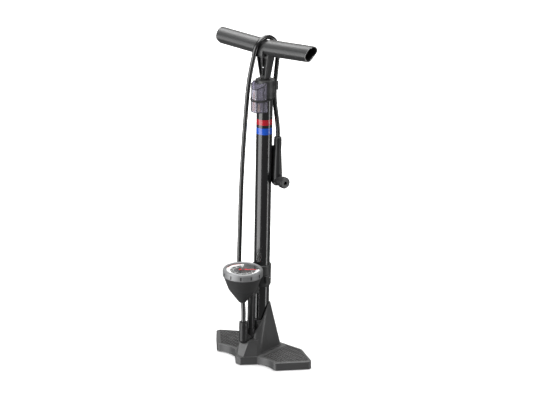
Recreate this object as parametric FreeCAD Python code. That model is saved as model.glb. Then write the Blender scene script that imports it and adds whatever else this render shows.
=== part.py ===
import FreeCAD, Part
import math
import os

# Floor bike pump, all sizes in millimetres.
# The origin is on the floor under the barrel's axis.  +Z is up, +X runs along
# the handle to the right-hand grip, and -Y is the side that carries the gauge.

V = FreeCAD.Vector
X_AXIS = V(1, 0, 0)
Y_AXIS = V(0, 1, 0)
Z_AXIS = V(0, 0, 1)

# ---- Fits ----
RUN_GAP = 0.05        # radial gap of a shaft that turns or slides in its hole
FREE_GAP = 0.3        # gap between faces of pieces that move past each other
THROUGH = 1.0         # how far a cutting tool runs past the face it opens

# ---- Hose ----
HOSE_R = 4.75
HOSE_BORE_R = 2.4

# ---- Barrel ----
BARREL_R = 17.0
BARREL_WALL = 1.5
BARREL_BOTTOM = 62.0
BARREL_LENGTH = 530.0
BARREL_BORE = BARREL_R - BARREL_WALL
BARREL_TOP = BARREL_BOTTOM + BARREL_LENGTH

# ---- Foot ----
FOOT_HALF = 134.5     # half of the width across the two wings
FOOT_CORNER_Y = 11.0  # where the wing is widest
FOOT_BACK_X = 75.0
FOOT_BACK_Y = 49.0
FOOT_FRONT_X = 79.5
FOOT_FRONT_Y = -50.5
FOOT_ARCH = (56.0, -43.0)
FOOT_NECK = (31.0, -48.0)
NOSE_TIP = (6.5, -74.0)
NOSE_TOP = (12.0, -54.0)
NOSE_TOP_Z = 50.0
FOOT_TOP = 18.0
FOOT_BOTTOM = 1.5
FOOT_SKIN = 4.0       # thickness of the wing's top skin
FOOT_ROUND = 9.0
RIM_ROUND = 1.4
RIM_WIDTH = 5.0       # smooth rim left around each tread pad
PAD_INNER_X = 38.0
PAD_DEPTH = 1.6
PAD_RIB_PITCH = 7.0
PAD_RIB_WIDTH = 3.0
PAD_RIB_HEIGHT = 1.2
WALL_RIB = 2.2
RUBBER_FOOT_R = 8.0
RUBBER_FOOT_T = 3.5

# ---- Shell that rises from the foot around the barrel ----
SAIL_HALF_X = 27.0
SAIL_HALF_Y = 45.5
SAIL_ROUND = 15.0
SAIL_TOP_R = BARREL_R + 3.0
SAIL_TOP = 121.0
SAIL_WALL = 2.2
SAIL_CUT_Y = -43.0    # the front is cut back along a slope through these
SAIL_CUT_Z = 46.0
BOSS_WALL = 5.0
BOSS_TOP = 87.0
BEAD_R = 1.8          # raised bead around the foot of the shell

# ---- Barrel plug and its screws ----
PLUG_HEIGHT = 14.0
SPIGOT_R = 9.0
SPIGOT_DROP = 16.0
PASSAGE_R = 2.5
PLUG_SCREW_PCD_R = BARREL_BORE - 3.5
PLUG_SCREW_R = 1.5
PLUG_SCREW_HEAD_R = 3.0
PLUG_SCREW_HEAD_T = 2.4
PLUG_SCREW_SEAT = 22.0   # length of screw that stands below the plug

# ---- Air elbow on the nose ----
ELBOW_Z = 53.0
ELBOW_LEG_R = 8.0
ELBOW_LEG_START = -13.0
RISER_Y = -(BARREL_R + 17.0)
SOCKET_Y = RISER_Y - 24.0
SOCKET_R = HOSE_R + 4.55
SOCKET_TOP = 93.0
VALVE_BORE = 5.0
VALVE_BORE_END = SOCKET_Y + 14.0
RISER_R = 7.25
RISER_WALL = 2.0
RISER_SEAT_Z = 63.0
RISER_CUP_TOP = 72.0
RISER_TOP = 158.0
RING_SECTION = 0.9    # radius of the section of the small sealing rings

# ---- Check valve in the elbow's leg ----
SEAT_T = 3.0
POPPET_R = 4.0
POPPET_T = 2.4
POPPET_STEM_R = 1.4
POPPET_STEM = 9.0
VALVE_SPRING_R = 2.7
VALVE_SPRING_WIRE = 0.35
VALVE_SPRING_TURNS = 7

# ---- Hose's joint in the elbow ----
GLAND_HEIGHT = 9.0
NIPPLE_LENGTH = 22.0

# ---- Gauge bracket ----
COLLAR_WALL = 3.0
COLLAR_BOTTOM = 162.0
COLLAR_TOP = 210.0
COLLAR_SPLIT_Y = -6.0
COLLAR_CHAMFER = 2.0
ARM_HALF_X = 7.5
ARM_BOTTOM = 150.0
ARM_TOP = 198.0
RISER_CUP_WALL = 2.2
RISER_CUP_BOTTOM = 146.0
LUG_OUT = 6.0
LUG_DEPTH = 6.0
LUG_BOTTOM = 172.0
LUG_TOP = 188.0
CLAMP_SCREW_R = 1.9
CLAMP_SCREW_HEAD_R = 3.4
CLAMP_SCREW_HEAD_T = 3.0

# ---- Gauge ----
BEZEL_R = 42.5
GAUGE_Y = -(BARREL_R + BEZEL_R + 3.5)
ARM_FRONT = GAUGE_Y + 1.0
BEZEL_BOTTOM = 200.0
BEZEL_TOP = 216.0
BEZEL_LIP = 7.0       # width of the bezel seen from above
BEZEL_ROUND = 2.0
CONE_TOP_R = BEZEL_R - 1.5
CONE_MID_R = BEZEL_R - 13.0
CONE_MID_Z = 170.0
CONE_TIP_R = 7.5
CONE_TIP_Z = 141.0
CONE_WALL = 2.5
GLASS_T = 1.5
GLASS_DROP = 1.0      # how far the glass lies below the top of the bezel
DIAL_T = 1.0
DIAL_Z = BEZEL_TOP - 6.0
DIAL_MARGIN = 1.5     # how far the dial and glass reach under the bezel's lip
NEEDLE_REST_DEG = 42.0
NEEDLE_LENGTH = 29.0
NEEDLE_TAIL = 8.0
NEEDLE_HALF_WIDTHS = (2.2, 1.8, 0.5)   # at the tail, the hub and the tip
NEEDLE_HUB_R = 3.6
NEEDLE_HUB_T = 1.6
NEEDLE_BLADE = (0.4, 1.2)   # bottom and top of the blade above the hub's foot
ARBOR_R = 1.0
PLATE_R = 13.0
PLATE_T = 1.5
PLATE_LOW_Z = 190.0
PLATE_HIGH_Z = 197.5
POST_R = 1.6
BOURDON_R = 19.0
BOURDON_TUBE_R = 1.8
BOURDON_Z = 184.0
BOURDON_SWEEP = 265.0
STEM_R = 3.0
STEM_Z = 166.0
STEM_POST_R = 4.5

# ---- Cap on top of the barrel ----
CAP_R = BARREL_R + 3.6
CAP_BOTTOM = BARREL_TOP - 15.0
CAP_TOP = BARREL_TOP + 22.0
CAP_ROUND = 1.5
BUSH_NECK_R = 10.0
BUSH_FLANGE_T = 14.0
BUSH_TOP = CAP_TOP - 8.0
WIPER_T = 4.0

# ---- Piston and rod ----
ROD_R = 6.0
ROD_WALL = 1.2
ROD_TOP = CAP_TOP + 38.0
PISTON_BOTTOM = BARREL_BOTTOM + PLUG_HEIGHT + 8.0
PISTON_T = 14.0
SEAL_T = 5.0
SEAL_DEPTH = 2.6
BUMPER_R = 12.0
BUMPER_T = 10.0
WASHER_R = 11.0
WASHER_T = 2.0
PISTON_SCREW_HEAD_T = 4.0
PISTON_SCREW_HEAD_R = 5.0
PISTON_SCREW_R = 2.5
PISTON_SCREW_LENGTH = 24.0

# ---- Handle ----
HANDLE_HALF = 117.0   # to the middle of each slanted end
HANDLE_Z = CAP_TOP + 67.0
HANDLE_RISE = 6.0     # how much higher the ends are than the middle
HANDLE_SLANT = 3.3    # the top of each end stands out by this, the bottom in
HANDLE_WALL = 2.8
HANDLE_SOLID = 26.0   # solid middle, measured each way from the centre
LEAF_HALF_Y = 20.0
LEAF_UP = 16.5
LEAF_DOWN = 16.8
SADDLE_HALF = 9.0      # half of the width of the hump that the hose lies on
SADDLE_R = 23.8
SADDLE_Y = 1.5
SADDLE_Z = HANDLE_Z - 9.0
YOKE_TOP_X = 18.0
YOKE_TOP_Y = 12.0
YOKE_TOP_Z = HANDLE_Z - 9.0
YOKE_BOTTOM_HALF = 8.8
YOKE_POCKET_DEPTH = 3.0
YOKE_POCKET_RIB = 1.6
YOKE_SKIN = 2.6
YOKE_ROUND = 3.0
CUSHION_T = 3.0
ROD_PIN_R = 2.0
ROD_PIN_Z = ROD_TOP - 12.0

# ---- Hose clip on the cap ----
CLIP_X = 5.0
CLIP_Y = CAP_R + HOSE_R + RUN_GAP * 3
CLIP_WALL = 2.4
CLIP_BOTTOM = CAP_BOTTOM + 11.0
CLIP_TOP = CLIP_BOTTOM + 18.0
CLIP_MOUTH = 7.0

# ---- Accessory case ----
CASE_HALF_X = BARREL_R
CASE_FRONT = -(BARREL_R + 17.5)
CASE_CORNER = 10.0      # slant across each front corner, along X and Y
CASE_BACK = -(BARREL_R - 5.0)
CASE_BOTTOM = CAP_BOTTOM - 28.0
CASE_TOP = CASE_BOTTOM + 50.0
CASE_ROOF_RISE = 13.0
CASE_ROOF_BACK = CASE_BACK - 5.0
CASE_WALL = 1.5
CASE_GAP = 0.4        # gap between the case and the cap or barrel it sits on
FITTING_ROOM = 3.8      # from the tray to the middle of each fitting
FITTING_PITCH = 6.4   # from one fitting to the next
FITTING_LENGTH = 40.0
BALL_HUB = 12.0
BALL_HUB_R = 2.4
BALL_NEEDLE_R = 0.8
BRASS_LENGTH = 18.0
BRASS_HEX = 8.0
BRASS_R = 3.0
BRASS_NECK_R = 2.4
BRASS_BORE_R = 1.6
TAPER_GRIP = 14.0
TAPER_WAIST = 18.0
TAPER_R = 3.2
TAPER_WAIST_R = 2.2
TAPER_TIP_R = 1.5
TAPER_BORE_R = 1.0
BAND_HEIGHT = 4.0
BAND_T = 1.6
BAND_TOP = CAP_BOTTOM - 1.0

# ---- Pump head ----
HEAD_X = BARREL_R + 3.5
HEAD_Y = BARREL_R + 3.0
HEAD_TURN = -14.0     # the port looks along +X turned by this, in degrees
HEAD_TOP_R = 7.8
HEAD_LOW_R = 10.6
HEAD_TOP = 466.0
HEAD_ROUND = 4.0
HEAD_NUT_R = 8.0
HEAD_NUT_TOP = 490.0
PORT_Z = 396.0
PORT_NECK_R = 10.0
HEAD_BOTTOM = PORT_Z - PORT_NECK_R - 1.2
PORT_NECK_END = 18.0
PORT_TUBE_R = 8.6
PORT_BORE_R = 7.0
PORT_FACE = 29.3
PORT_COLLAR_R = 12.0
PORT_LIP = 1.8
PORT_HOLE_R = 4.0
GROMMET_START = 15.3
PLUNGER_R = 3.2
PLUNGER_BACK = -3.5
PLUNGER_FLANGE_T = 2.2
PIVOT_X = -9.5
PIVOT_BOSS_R = 5.0
PIVOT_BOSS_HALF = 4.4
LEVER_PIN_R = 1.5
LEVER_CHEEK_R = 6.4
LEVER_CHEEK_T = 1.9
LEVER_T = 3.2
LEVER_BACK = 5.6      # from the pivot to the lever's outer face
LEVER_START = 6.2     # the lever's back plate begins this far above the pivot
LEVER_TOP = 468.0
LEVER_TIP_DROP = 2.0

# ---- Route of the hose, from the elbow's socket to the pump head ----
# The first point is on the socket's top and the last on the head's nut.
HOSE_ROUTE = [
    (0, SOCKET_Y, SOCKET_TOP),
    (0, SOCKET_Y, SOCKET_TOP + 21),
    (-7, -52, 136),
    (-22, -42.5, 157),
    (-35, -32, 184),
    (-41, -26.5, 226),
    (-42, -23.5, 280),
    (-40.5, -24.5, 336),
    (-36.5, -27.5, 392),
    (-31.5, -30.5, 448),
    (-26.5, -32, 504),
    (-21.5, -33.5, 556),
    (-17, -34, 602),
    (-12, -31.5, 640),
    (-8, -28.5, 664),
    (-5.5, -28.2, 680),
    (-3, -20.5, 694),
    (-1, -6.5, 702),
    (1, 9.5, 702),
    (3, 23.5, 694),
    (5, 31.5, 680),
    (6.5, 31.8, 660),
    (6, 28, 628),
    (4.6, 25.3, 590),
    (6.5, 24.5, 562),
    (14, 22.5, 532),
    (HEAD_X, HEAD_Y, HEAD_NUT_TOP + 16),
    (HEAD_X, HEAD_Y, HEAD_NUT_TOP),
]


# ---- Helpers ----
def rod(radius, start, end):
    """Round bar from one point to another."""
    line = V(*end) - V(*start)
    return Part.makeCylinder(radius, line.Length, V(*start), line)


def upright(radius, bottom, top, x=0.0, y=0.0):
    """Round bar standing along Z."""
    return rod(radius, (x, y, bottom), (x, y, top))


def box(low, high):
    """Box between two corners."""
    size = V(*high) - V(*low)
    return Part.makeBox(size.x, size.y, size.z, V(*low))


def ring(outer, inner, bottom, top, x=0.0, y=0.0):
    """Flat-ended ring standing along Z."""
    hole = upright(inner, bottom - THROUGH, top + THROUGH, x, y)
    return upright(outer, bottom, top, x, y).cut(hole)


def fuse(*shapes):
    """Join shapes that overlap or touch into one solid."""
    whole = shapes[0]
    for shape in shapes[1:]:
        whole = whole.fuse(shape)
    return whole.removeSplitter()


def cut(shape, *tools):
    """Take each tool away from the shape."""
    for tool in tools:
        shape = shape.cut(tool)
    return shape


def prism(points, bottom, top):
    """Upright prism on a closed outline of (x, y) points."""
    corners = [V(x, y, bottom) for x, y in points]
    face = Part.Face(Part.makePolygon(corners + corners[:1]))
    return face.extrude(V(0, 0, top - bottom))


def revolve(profile, x=0.0, y=0.0):
    """Solid turned about the vertical line at (x, y), from (radius, z) points."""
    corners = [V(x + radius, y, height) for radius, height in profile]
    face = Part.Face(Part.makePolygon(corners + corners[:1]))
    return face.revolve(V(x, y, 0), Z_AXIS, 360)


def mirrored(shape):
    """The same shape on the other side of the YZ plane."""
    return shape.mirror(V(0, 0, 0), X_AXIS)


def upright_edges(shape, places, reach=0.6):
    """Vertical edges that stand at the given (x, y) places."""
    found = []
    for edge in shape.Edges:
        ends = edge.Vertexes
        if len(ends) != 2:
            continue
        low, high = ends[0].Point, ends[1].Point
        if math.hypot(low.x - high.x, low.y - high.y) > 0.01:
            continue
        if any(math.hypot(low.x - x, low.y - y) < reach for x, y in places):
            found.append(edge)
    return found


def edges_at(shape, height, reach=0.01):
    """Edges that lie in the horizontal plane at a height."""
    low, high = height - reach, height + reach
    return [e for e in shape.Edges if e.BoundBox.ZMin > low and e.BoundBox.ZMax < high]


def rounded_rectangle(half_x, half_y, radius, height):
    """Closed wire of a rectangle with round corners, eight edges long."""
    flat_x, flat_y = half_x - radius, half_y - radius
    edges = []
    quarter_starts = [(flat_x, flat_y, 0), (-flat_x, flat_y, 90),
                      (-flat_x, -flat_y, 180), (flat_x, -flat_y, 270)]
    ends = []
    for x, y, start in quarter_starts:
        circle = Part.Circle(V(x, y, height), Z_AXIS, radius)
        first, last = math.radians(start), math.radians(start + 90)
        arc = Part.Arc(circle, first, last)
        ends.append((arc.value(first), arc.value(last)))
        edges.append(arc.toShape())
    for i, (_, last) in enumerate(ends):
        following = ends[(i + 1) % 4][0]
        edges.append(Part.makeLine(last, following))
    return Part.Wire(Part.__sortEdges__(edges))


def groove_ring(centre, axis, outer):
    """Sealing ring of round section whose outside has the given radius."""
    return Part.makeTorus(outer - RING_SECTION, RING_SECTION, V(*centre), axis)


def groove(centre, axis, outer):
    """Square groove that a sealing ring lies in."""
    half = RING_SECTION + RUN_GAP
    start = V(*centre) - axis * half
    tall = Part.makeCylinder(outer + THROUGH, 2 * half, start, axis)
    core = Part.makeCylinder(outer - 2 * half, 2 * half, start, axis)
    return tall.cut(core)


# ---- Foot ----
def wing_outline():
    """Right wing's corners from the back's middle to the nose."""
    back = (FOOT_BACK_X, FOOT_BACK_Y)
    corner = (FOOT_HALF, FOOT_CORNER_Y)
    front = (FOOT_FRONT_X, FOOT_FRONT_Y)
    return back, corner, front


def foot_plate():
    """Both wings and the nose's floor as one plate with round corners."""
    back, corner, front = wing_outline()
    sides = []
    for side in (1, -1):
        points = [V(side * x, y, FOOT_BOTTOM) for x, y in (back, corner, front)]
        neck = V(side * FOOT_NECK[0], FOOT_NECK[1], FOOT_BOTTOM)
        arch = V(side * FOOT_ARCH[0], FOOT_ARCH[1], FOOT_BOTTOM)
        tip = V(side * NOSE_TIP[0], NOSE_TIP[1], FOOT_BOTTOM)
        sides.append((points, arch, neck, tip))
    edges = [Part.makeLine(sides[1][0][0], sides[0][0][0])]
    for points, arch, neck, tip in sides:
        edges.append(Part.makeLine(points[0], points[1]))
        edges.append(Part.makeLine(points[1], points[2]))
        edges.append(Part.Arc(points[2], arch, neck).toShape())
        edges.append(Part.makeLine(neck, tip))
    edges.append(Part.makeLine(sides[0][3], sides[1][3]))
    outline = Part.Wire(Part.__sortEdges__(edges))
    plate = Part.Face(outline).extrude(V(0, 0, FOOT_TOP - FOOT_BOTTOM))
    places = [(side * x, y) for side in (1, -1) for x, y in (back, corner, front)]
    plate = plate.makeFillet(FOOT_ROUND, upright_edges(plate, places))
    rim = [e for e in edges_at(plate, FOOT_TOP)
           if abs(e.CenterOfMass.x) > FOOT_ARCH[0]]
    return plate.makeFillet(RIM_ROUND, rim)


def pad_outline(margin):
    """Outline of the right tread pad, a margin inside the wing's edge."""
    back, corner, front = wing_outline()
    slope = math.hypot(corner[0] - back[0], corner[1] - back[1])
    lean = (corner[0] - back[0]) / slope
    return [
        (PAD_INNER_X, back[1] - margin),
        (back[0] - margin * (1 - lean), back[1] - margin),
        (corner[0] - 2 * margin, corner[1]),
        (front[0] - margin / 2, front[1] + 2 * margin),
        (FOOT_ARCH[0], FOOT_ARCH[1] + 1.4 * margin),
        (PAD_INNER_X, FOOT_ARCH[1] + 1.2 * margin),
    ]


def tread_pad():
    """Right tread pad with a row of straight ribs on it."""
    bottom = FOOT_TOP - PAD_DEPTH
    outline = pad_outline(RIM_WIDTH)
    plate = prism(outline, bottom, FOOT_TOP - PAD_RIB_HEIGHT / 2)
    x = PAD_INNER_X + PAD_RIB_PITCH / 2
    while x < FOOT_HALF:
        low = (x, FOOT_FRONT_Y, bottom)
        bar = box(low, (x + PAD_RIB_WIDTH, FOOT_BACK_Y, FOOT_TOP + PAD_RIB_HEIGHT / 2))
        rib = bar.common(prism(outline, bottom, FOOT_TOP + PAD_RIB_HEIGHT))
        plate = plate.fuse(rib)
        x += PAD_RIB_PITCH
    return plate.removeSplitter()


def rubber_foot_places():
    """Centres of the rubber feet: three under each wing, the nose and the middle."""
    inset = RIM_WIDTH + RUBBER_FOOT_R
    wing = [
        (FOOT_HALF - 1.7 * inset, FOOT_CORNER_Y),
        (FOOT_BACK_X - inset / 2, FOOT_BACK_Y - inset),
        (FOOT_FRONT_X - inset / 2, FOOT_FRONT_Y + 1.4 * inset),
    ]
    both = wing + [(-x, y) for x, y in wing]
    return both + [(0.0, 0.0), (0.0, NOSE_TIP[1] + 1.5 * inset)]


def rubber_feet():
    """Rubber feet that the pump stands on."""
    pads = [upright(RUBBER_FOOT_R, 0, RUBBER_FOOT_T, x, y) for x, y in rubber_foot_places()]
    return Part.makeCompound(pads)


def wing_hollow():
    """Space under the right wing, with its stiffening ribs left standing."""
    top = FOOT_TOP - FOOT_SKIN
    hollow = prism(pad_outline(RIM_WIDTH), FOOT_BOTTOM - THROUGH, top)
    middle_x = (PAD_INNER_X + FOOT_HALF) / 2
    across = box((middle_x, FOOT_FRONT_Y, 0), (middle_x + WALL_RIB, FOOT_BACK_Y, top))
    along = box((0, 0, 0), (FOOT_HALF, WALL_RIB, top))
    hollow = cut(hollow, across, along)
    for x, y in rubber_foot_places():
        if x > 0:
            hollow = hollow.cut(upright(RUBBER_FOOT_R + WALL_RIB, 0, top, x, y))
    return hollow


def nose():
    """Wedge in front of the shell that carries the elbow."""
    def outline(points, height):
        full = points + [(-x, y) for x, y in reversed(points)]
        corners = [V(x, y, height) for x, y in full]
        return Part.makePolygon(corners + corners[:1])
    low = outline([(FOOT_NECK[0], RISER_Y), FOOT_NECK, NOSE_TIP], FOOT_BOTTOM)
    shoulder = (FOOT_NECK[0] + NOSE_TOP[0]) / 2
    high = outline([(shoulder, RISER_Y + 8), (shoulder, FOOT_ARCH[1] + 4), NOSE_TOP], NOSE_TOP_Z)
    return Part.makeLoft([low, high], True, True)


def sail_body(inset, bottom, top):
    """Tapering shell around the barrel, made smaller all round by an inset."""
    def section(height):
        part = (height - FOOT_TOP) / (SAIL_TOP - FOOT_TOP)
        half_x = SAIL_HALF_X + part * (SAIL_TOP_R - SAIL_HALF_X) - inset
        half_y = SAIL_HALF_Y + part * (SAIL_TOP_R - SAIL_HALF_Y) - inset
        flat = (SAIL_HALF_X - SAIL_ROUND) * (1 - part)
        radius = half_x - max(flat, 0.1)
        return rounded_rectangle(half_x, half_y, radius, height)
    return Part.makeLoft([section(bottom), section(top)], True, True)


def sail_front():
    """Everything in front of the slope that cuts the shell open."""
    slope = (SAIL_CUT_Z - SAIL_TOP) / SAIL_CUT_Y
    reach = 3 * SAIL_CUT_Y
    side = [
        V(0, 0, SAIL_TOP),
        V(0, reach, SAIL_TOP + slope * reach),
        V(0, reach, 2 * SAIL_TOP),
        V(0, 0, 2 * SAIL_TOP),
    ]
    face = Part.Face(Part.makePolygon(side + side[:1]))
    wide = 2 * SAIL_HALF_X
    return face.extrude(V(2 * wide, 0, 0)).translated(V(-wide, 0, 0))


def foot_bead():
    """Raised bead that runs around the shell where it meets the wings."""
    ring_wide = sail_body(-BEAD_R, FOOT_TOP - THROUGH, FOOT_TOP + BEAD_R)
    return ring_wide.cut(sail_body(SAIL_WALL, FOOT_TOP - 2 * THROUGH, FOOT_TOP + 2 * BEAD_R))


def plug_screw_places():
    """Three screws on a circle, clear of the elbow's leg at the front."""
    angles = [90, 210, 330]
    return [(PLUG_SCREW_PCD_R * math.cos(math.radians(a)),
             PLUG_SCREW_PCD_R * math.sin(math.radians(a))) for a in angles]


def foot_base():
    """Moulded foot: two wings, nose, shell and the socket for the barrel."""
    boss_r = BARREL_R + BOSS_WALL
    shell = sail_body(0, FOOT_TOP - THROUGH, SAIL_TOP)
    shell = shell.cut(sail_body(SAIL_WALL, FOOT_TOP - 2 * THROUGH, SAIL_TOP + THROUGH))
    shell = shell.cut(sail_front())
    foot = fuse(foot_plate(), nose(), foot_bead(), shell, upright(boss_r, FOOT_BOTTOM, BOSS_TOP))
    foot = cut(foot, wing_hollow(), mirrored(wing_hollow()))
    pocket = prism(pad_outline(RIM_WIDTH), FOOT_TOP - PAD_DEPTH, FOOT_TOP + THROUGH)
    foot = cut(foot, pocket, mirrored(pocket))
    foot = cut(foot, upright(BARREL_R, BARREL_BOTTOM, SAIL_TOP + THROUGH))
    foot = cut(foot, upright(SPIGOT_R, BARREL_BOTTOM - SPIGOT_DROP, BARREL_BOTTOM + THROUGH))
    foot = cut(foot, elbow_outside())
    for x, y in rubber_foot_places():
        foot = foot.cut(upright(RUBBER_FOOT_R, 0, RUBBER_FOOT_T, x, y))
    seat = BARREL_BOTTOM - PLUG_SCREW_SEAT
    for x, y in plug_screw_places():
        foot = foot.cut(upright(PLUG_SCREW_R, seat - THROUGH, BARREL_BOTTOM + THROUGH, x, y))
        foot = foot.cut(upright(PLUG_SCREW_HEAD_R + FREE_GAP, RUBBER_FOOT_T, seat, x, y))
    return foot


# ---- Barrel, plug and elbow ----
def barrel():
    """Straight tube that the piston runs in."""
    return ring(BARREL_R, BARREL_BORE, BARREL_BOTTOM, BARREL_TOP)


def plug_ring_centre():
    """Middle of the plug's sealing ring."""
    return (0, 0, BARREL_BOTTOM + PLUG_HEIGHT / 2)


def barrel_plug():
    """Plug in the barrel's bottom that leads the air forward to the elbow."""
    top = BARREL_BOTTOM + PLUG_HEIGHT
    plug = fuse(upright(BARREL_BORE, BARREL_BOTTOM, top),
                upright(SPIGOT_R, BARREL_BOTTOM - SPIGOT_DROP, BARREL_BOTTOM))
    plug = cut(plug, upright(PASSAGE_R, ELBOW_Z, top + THROUGH))
    plug = cut(plug, rod(PASSAGE_R, (0, 0, ELBOW_Z), (0, -SPIGOT_R - THROUGH, ELBOW_Z)))
    plug = cut(plug, groove(plug_ring_centre(), Z_AXIS, BARREL_BORE))
    for x, y in plug_screw_places():
        plug = plug.cut(upright(PLUG_SCREW_R, BARREL_BOTTOM - THROUGH, top - 4 * THROUGH, x, y))
    return plug


def plug_ring():
    """Sealing ring between plug and barrel."""
    return groove_ring(plug_ring_centre(), Z_AXIS, BARREL_BORE)


def plug_screws():
    """Screws that pull the plug and barrel down into the foot."""
    seat = BARREL_BOTTOM - PLUG_SCREW_SEAT
    top = BARREL_BOTTOM + PLUG_HEIGHT - 4 * THROUGH
    screws = []
    for x, y in plug_screw_places():
        head = upright(PLUG_SCREW_HEAD_R, seat - PLUG_SCREW_HEAD_T, seat, x, y)
        slot = upright(PLUG_SCREW_R, seat - PLUG_SCREW_HEAD_T - THROUGH, seat - THROUGH, x, y)
        screws.append(fuse(head, upright(PLUG_SCREW_R, seat, top, x, y)).cut(slot))
    return Part.makeCompound(screws)


def elbow_outside():
    """Elbow without its passages, which also shapes its bed in the nose."""
    leg = rod(ELBOW_LEG_R, (0, ELBOW_LEG_START, ELBOW_Z), (0, SOCKET_Y, ELBOW_Z))
    socket = upright(SOCKET_R, ELBOW_Z, SOCKET_TOP, 0, SOCKET_Y)
    corner = Part.makeSphere(SOCKET_R, V(0, SOCKET_Y, ELBOW_Z))
    cup = upright(RISER_R + RISER_CUP_WALL, ELBOW_Z, RISER_CUP_TOP, 0, RISER_Y)
    return fuse(leg, socket, corner, cup)


def elbow_ring_centre():
    """Middle of the ring that seals the elbow's leg in the foot."""
    return (0, ELBOW_LEG_START - 3 * RING_SECTION, ELBOW_Z)


def hose_elbow():
    """Elbow that joins the barrel, the gauge's riser and the hose."""
    back = ELBOW_LEG_START + THROUGH
    gland_seat = SOCKET_TOP - GLAND_HEIGHT
    elbow = cut(
        elbow_outside(),
        rod(VALVE_BORE, (0, back, ELBOW_Z), (0, VALVE_BORE_END, ELBOW_Z)),
        rod(PASSAGE_R, (0, back, ELBOW_Z), (0, SOCKET_Y, ELBOW_Z)),
        upright(PASSAGE_R, ELBOW_Z, SOCKET_TOP, 0, SOCKET_Y),
        upright(HOSE_R, SOCKET_TOP - NIPPLE_LENGTH, SOCKET_TOP, 0, SOCKET_Y),
        upright(HOSE_R + 2, gland_seat, SOCKET_TOP + THROUGH, 0, SOCKET_Y),
        upright(PASSAGE_R, ELBOW_Z, RISER_CUP_TOP, 0, RISER_Y),
        upright(RISER_R, RISER_SEAT_Z, RISER_CUP_TOP + THROUGH, 0, RISER_Y),
        groove(elbow_ring_centre(), Y_AXIS, ELBOW_LEG_R),
    )
    return elbow


def hose_nipple():
    """Barbed nipple that the hose is pushed onto inside the socket."""
    bottom = SOCKET_TOP - NIPPLE_LENGTH
    step = (GLAND_HEIGHT + 1) / 3
    body = upright(HOSE_R, bottom, bottom + NIPPLE_LENGTH - GLAND_HEIGHT, 0, SOCKET_Y)
    for i in range(3):
        low = SOCKET_TOP - GLAND_HEIGHT - THROUGH + i * step
        barb = Part.makeCone(HOSE_R - 1, HOSE_R - 2, step, V(0, SOCKET_Y, low))
        body = body.fuse(barb)
    hole = upright(HOSE_BORE_R / 2, bottom - THROUGH, SOCKET_TOP + THROUGH, 0, SOCKET_Y)
    return body.cut(hole)


def hose_gland():
    """Collar that grips the hose in the mouth of the socket."""
    return ring(HOSE_R + 2, HOSE_R - 1, SOCKET_TOP - GLAND_HEIGHT, SOCKET_TOP, 0, SOCKET_Y)


def check_valve_seat():
    """Ring that the valve closes against."""
    start = (0, ELBOW_LEG_START, ELBOW_Z)
    end = (0, ELBOW_LEG_START - SEAT_T, ELBOW_Z)
    hole = rod(PASSAGE_R - 0.5, (0, ELBOW_LEG_START + THROUGH, ELBOW_Z),
               (0, ELBOW_LEG_START - SEAT_T - THROUGH, ELBOW_Z))
    return rod(VALVE_BORE, start, end).cut(hole)


def poppet_back():
    """Y of the valve's closing face when it is shut."""
    return ELBOW_LEG_START - SEAT_T


def check_valve_poppet():
    """Valve disc and stem that air from the barrel pushes open."""
    back = poppet_back()
    disc = rod(POPPET_R, (0, back, ELBOW_Z), (0, back - POPPET_T, ELBOW_Z))
    stem = rod(POPPET_STEM_R, (0, back, ELBOW_Z), (0, back - POPPET_T - POPPET_STEM, ELBOW_Z))
    return fuse(disc, stem)


def check_valve_spring():
    """Light coil spring that shuts the valve."""
    start = poppet_back() - POPPET_T - VALVE_SPRING_WIRE
    length = start - VALVE_BORE_END - VALVE_SPRING_WIRE
    helix = Part.makeHelix(length / VALVE_SPRING_TURNS, length, VALVE_SPRING_R)
    circle = Part.Circle(V(VALVE_SPRING_R, 0, 0), Y_AXIS, VALVE_SPRING_WIRE)
    section = Part.Wire([circle.toShape()])
    coil = Part.Wire(helix.Edges).makePipeShell([section], True, True)
    coil.rotate(V(0, 0, 0), X_AXIS, 90)
    return coil.translated(V(0, start, ELBOW_Z))


def elbow_ring():
    """Sealing ring on the elbow's leg."""
    return groove_ring(elbow_ring_centre(), Y_AXIS, ELBOW_LEG_R)


# ---- Riser and gauge bracket ----
def riser_ring_heights():
    """Heights of the two rings that seal the riser's ends."""
    low = (RISER_SEAT_Z + RISER_CUP_TOP) / 2
    high = RISER_TOP - (RISER_CUP_TOP - RISER_SEAT_Z) / 2
    return low, high


def riser_tube():
    """Tube that leads air pressure up to the gauge."""
    tube = ring(RISER_R, RISER_R - RISER_WALL, RISER_SEAT_Z, RISER_TOP, 0, RISER_Y)
    for height in riser_ring_heights():
        tube = tube.cut(groove((0, RISER_Y, height), Z_AXIS, RISER_R))
    return tube


def riser_rings():
    """Sealing rings at both ends of the riser."""
    rings = [groove_ring((0, RISER_Y, z), Z_AXIS, RISER_R) for z in riser_ring_heights()]
    return Part.makeCompound(rings)


def collar():
    """Whole collar around the barrel, with the lugs that its screws pass through."""
    outer = BARREL_R + COLLAR_WALL
    profile = [
        (BARREL_R, COLLAR_BOTTOM), (outer - COLLAR_CHAMFER, COLLAR_BOTTOM),
        (outer, COLLAR_BOTTOM + 2 * COLLAR_CHAMFER), (outer, COLLAR_TOP - 1),
        (outer - 1, COLLAR_TOP), (BARREL_R, COLLAR_TOP),
    ]
    band = revolve(profile)
    lug_low = (-BARREL_R - LUG_OUT, COLLAR_SPLIT_Y - LUG_DEPTH, LUG_BOTTOM)
    lug_high = (BARREL_R + LUG_OUT, COLLAR_SPLIT_Y + LUG_DEPTH, LUG_TOP)
    lugs = box(lug_low, lug_high)
    lugs = lugs.makeFillet(YOKE_ROUND / 2, lugs.Edges)
    band = band.fuse(lugs.cut(upright(BARREL_R + 1, 0, COLLAR_TOP + THROUGH)))
    return band.removeSplitter()


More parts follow.
